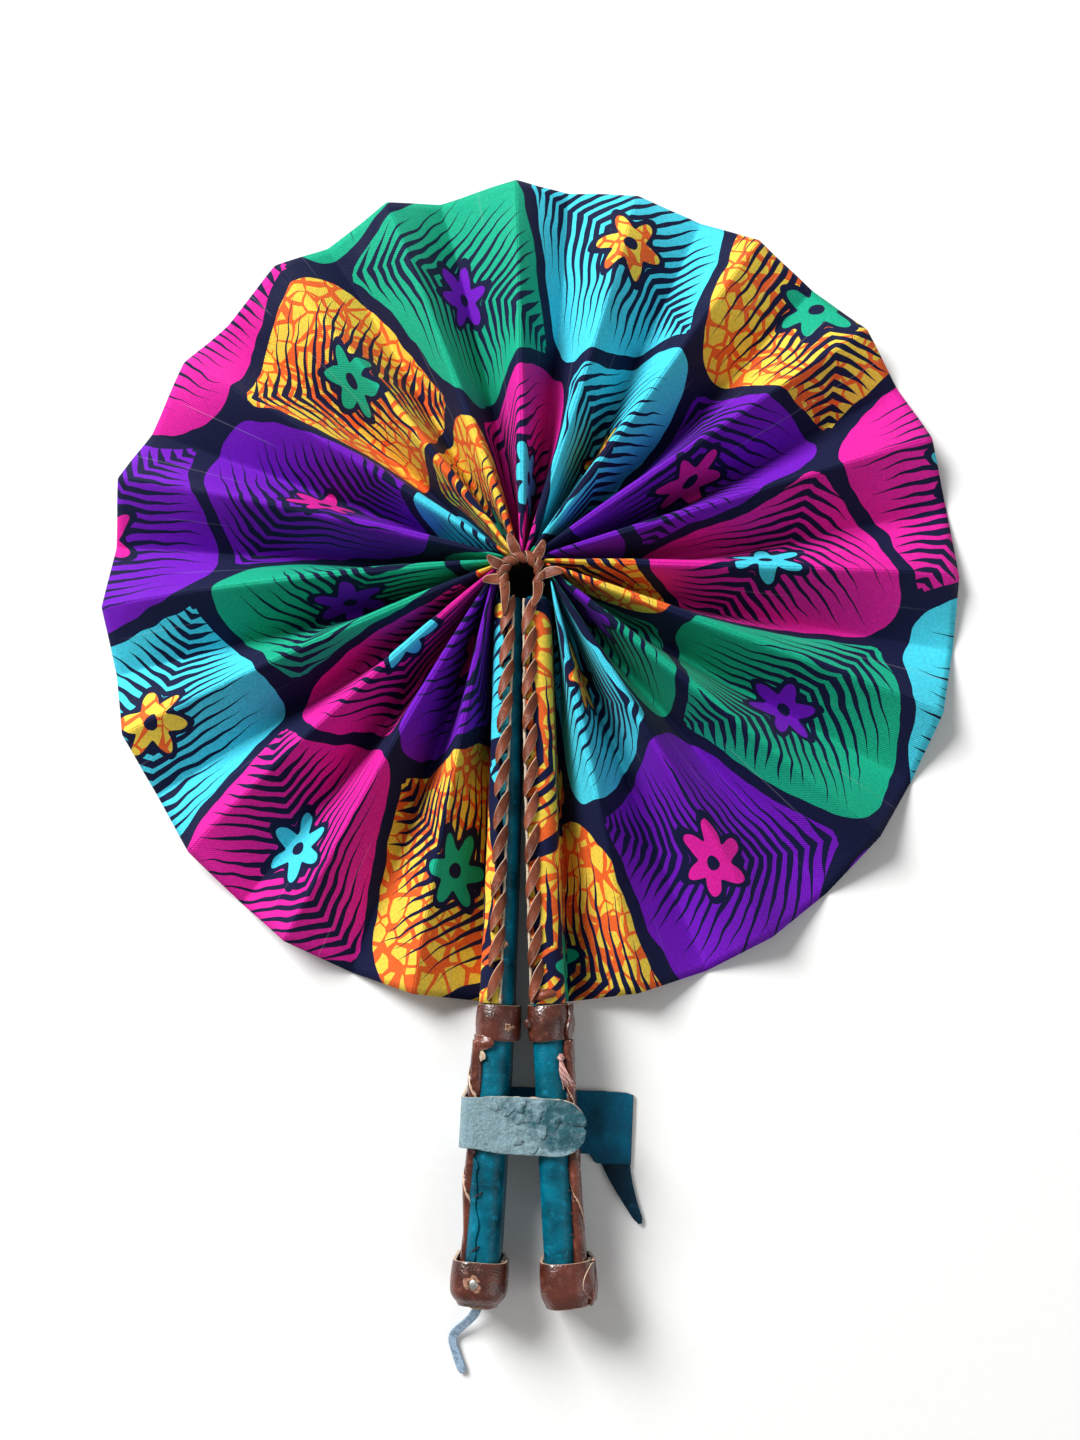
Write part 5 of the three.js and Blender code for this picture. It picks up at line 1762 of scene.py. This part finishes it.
# Small trim
class FAN_OT_trim(bpy.types.Operator):
    """Add the nail head in its torn hole, the thong and the thread knot"""

    bl_idname = "fan.trim"
    bl_label = "Small trim"

    def execute(self, context):
        self.nail_head()
        self.torn_hole()
        self.thong()
        self.thread_knot()
        return {"FINISHED"}

    def nail_head(self):
        """Hammered head of the nail in the left cap."""
        at = on_stick(-1, NAIL_AT, NAIL_ACROSS, BAND_FRONT)
        rows = []
        for k, share in enumerate(shares(9)):
            polar = math.pi / 2 * between(0.06, 1.0, share)
            ring = []
            for a in round_angles(24):
                hammered = 1.75 + 0.25 * wander(35, math.cos(a) * 0.9 + k * 0.12, math.sin(a) * 0.9)
                ring.append(at + Vector((
                    hammered * math.sin(polar) * math.cos(a), hammered * math.sin(polar) * math.sin(a),
                    1.15 * math.cos(polar) ** 0.6 + 0.2 * math.sin(polar) * math.sin(a + 1),
                )) * MM)
            rows.append(ring)
        head = surface("left_cap_nail_head", rows, finish("steel"), around=True, capped=True)
        carried(head, "left_handle", "nail_steel", "left_cap_nail")

    def torn_hole(self):
        """Torn rim of leather round the nail head."""
        at = on_stick(-1, NAIL_AT, NAIL_ACROSS, BAND_FRONT + 0.3)
        rows = []
        for a in round_angles(48):
            ragged = 0.86 + 0.6 * wander(31, math.cos(a) * 1.6 + 4, math.sin(a) * 1.6)
            ring = []
            for b in round_angles(10):
                radius = (2.4 + 0.85 * math.cos(b)) * ragged
                ring.append(at + Vector((
                    radius * math.cos(a), radius * math.sin(a),
                    0.45 * math.sin(b) * (1 + 0.6 * wander(33, math.cos(a) * 2, math.sin(a) * 2)),
                )) * MM)
            rows.append(ring)
        rows.append(rows[0])
        torn = surface("left_cap_torn_hole", rows, finish("torn"), around=True)
        carried(torn, "left_handle", "brown_leather")

    def thong(self):
        """Limp strip of leather that hangs out at the left foot."""
        points = smooth_route(
            [on_stick(-1, STICK_END + CLOTH_GAP + past, u, z) for u, past, z in THONG_ROUTE], 49
        )
        rows = []
        for k, share in enumerate(shares(len(points))):
            across = directions(points, k)[1]
            half = (1.4 + 0.15 * wander(41, share * 8)) * (1 - 0.35 * step(0.95, 1.0, share)) * MM
            tilt = UP * 0.5 * math.sin(share * 5) * MM * step(0, 0.5, 1 - share)
            rows.append([points[k] + (across * half + tilt) * (c / 4) for c in range(-4, 5)])
        thong = surface("left_thong_strip", rows, finish("thong"))
        thicken(thong, 1.0, bevel=0.2)
        carried(thong, "left_handle", "thong_leather", "left_thong")

    def thread_knot(self):
        """Knot of pink thread on the right grip, with its loose ends."""
        middle = on_stick(1, COLLAR_END + 5.5, 3.9, STICK_FRONT + 0.2)
        knot = lump(
            "right_thread_knot_bead", middle, finish("pink"), rings=11, sides=18, pole=0.03, stretch=1.0,
            radius=lambda k, polar, a: 1.15 + 0.22 * math.sin(polar * 5 + a * 2),
        )
        carried(knot, "right_handle", "pink_thread", "right_thread_knot")
        for number in range(THREAD_ENDS):
            swing = (number - THREAD_ENDS // 2) * 0.5
            long = 9.5 + 2.4 * wander(51, number * 0.9)
            bend = number % 3
            route = [middle + Vector(offset) * MM for offset in (
                (0.1 * swing, -0.6, 0.2),
                (0.6 + 0.5 * swing, -0.4 * long, 0.5 + 0.12 * bend),
                (2.0 + 0.75 * swing, -0.75 * long, -0.1 + 0.1 * bend),
                (2.8 + 1.0 * swing, -long, -1.6 - 0.25 * abs(swing)),
            )]
            strand = tube(
                f"right_thread_end_{number + 1}", smooth_route(route, 13), THREAD_RADIUS, finish("pink")
            )
            carried(strand, "right_handle", "pink_thread")


# Stage, in metres and degrees
FLOOR_HALF = 1.6
FLOOR_DROP = 0.0003
KEY_LIGHT = (-1.4, 1.5, 1.6)
KEY_SIZE = 1.2
FILL_LIGHT = (1.6, -0.9, 1.5)
FILL_SIZE = 1.5
CAMERA_AT = Vector((34.9, HUB_Y - 131.3, 500)) * MM
CAMERA_ASIDE = 3.45
CAMERA_BACK = 9.40
SENSOR_MM = 36


class FAN_OT_stage(bpy.types.Operator):
    """Lay the paper floor, and set the lights and the camera"""

    bl_idname = "fan.stage"
    bl_label = "Stage"

    def execute(self, context):
        stage = context.scene.fan_stage
        rows = [[(FLOOR_HALF * x, FLOOR_HALF * y, -FLOOR_DROP) for x in (-1, 0, 1)] for y in (-1, 0, 1)]
        floor = surface("paper_floor", rows, finish("paper"))
        self.sky(context, stage.sky)
        self.light(context, "key light", stage.key, KEY_SIZE, KEY_LIGHT)
        self.light(context, "fill light", stage.fill, FILL_SIZE, FILL_LIGHT)
        self.camera(context, stage.lens)
        return {"FINISHED"}

    def sky(self, context, strength):
        """Even white light from all sides."""
        world = bpy.data.worlds.new("soft sky")
        world.use_nodes = True
        background = world.node_tree.nodes["Background"]
        fill(world.node_tree, background, {"Color": (1, 1, 1, 1), "Strength": strength})
        context.scene.world = world
        context.scene.view_settings.view_transform = "Standard"

    def light(self, context, name, power, size, at):
        """Square lamp that faces the fan."""
        lamp = bpy.data.lights.new(name, "AREA")
        lamp.energy = power
        lamp.size = size
        light = bpy.data.objects.new(name, lamp)
        light.location = at
        light.rotation_mode = "QUATERNION"
        light.rotation_quaternion = (-Vector(at)).to_track_quat("-Z", "Y")
        context.scene.collection.objects.link(light)

    def camera(self, context, length):
        """Camera above the fan, turned aside and back a little."""
        lens = bpy.data.cameras.new("camera")
        lens.sensor_width = SENSOR_MM
        lens.lens = length
        lens.clip_start = 0.01
        camera = bpy.data.objects.new("camera", lens)
        aside = Matrix.Rotation(math.radians(CAMERA_ASIDE), 4, "Y")
        back = Matrix.Rotation(math.radians(CAMERA_BACK), 4, "X")
        camera.matrix_world = Matrix.Translation(CAMERA_AT) @ (aside @ back)
        context.scene.collection.objects.link(camera)
        context.scene.camera = camera


class FAN_PT_panel(bpy.types.Panel):
    """Settings and steps of the fan"""

    bl_label = "Folding hand fan"
    bl_idname = "FAN_PT_panel"
    bl_space_type = "VIEW_3D"
    bl_region_type = "UI"
    bl_category = "Fan"

    def draw(self, context):
        for settings in (context.scene.fan_leaf, context.scene.fan_leather, context.scene.fan_stage):
            for key in settings.bl_rna.properties.keys():
                if key not in ("rna_type", "name"):
                    self.layout.prop(settings, key)
        for step_class in STEPS:
            self.layout.operator(step_class.bl_idname)


STEPS = (
    FAN_OT_stage, FAN_OT_leaf, FAN_OT_lacing, FAN_OT_sticks, FAN_OT_bands, FAN_OT_strap, FAN_OT_trim
)
CLASSES = (FanLeafSettings, FanLeatherSettings, FanStageSettings, *STEPS, FAN_PT_panel)


def register():
    for kind in CLASSES:
        bpy.utils.register_class(kind)
    bpy.types.Scene.fan_leaf = PointerProperty(type=FanLeafSettings)
    bpy.types.Scene.fan_leather = PointerProperty(type=FanLeatherSettings)
    bpy.types.Scene.fan_stage = PointerProperty(type=FanStageSettings)


def unregister():
    del bpy.types.Scene.fan_stage
    del bpy.types.Scene.fan_leather
    del bpy.types.Scene.fan_leaf
    for kind in reversed(CLASSES):
        bpy.utils.unregister_class(kind)


def main():
    """Build the whole fan."""
    register()
    bpy.ops.fan.stage()
    bpy.ops.fan.leaf()
    bpy.ops.fan.lacing()
    bpy.ops.fan.sticks()
    bpy.ops.fan.bands()
    bpy.ops.fan.strap()
    bpy.ops.fan.trim()


if __name__ == "__main__":
    main()
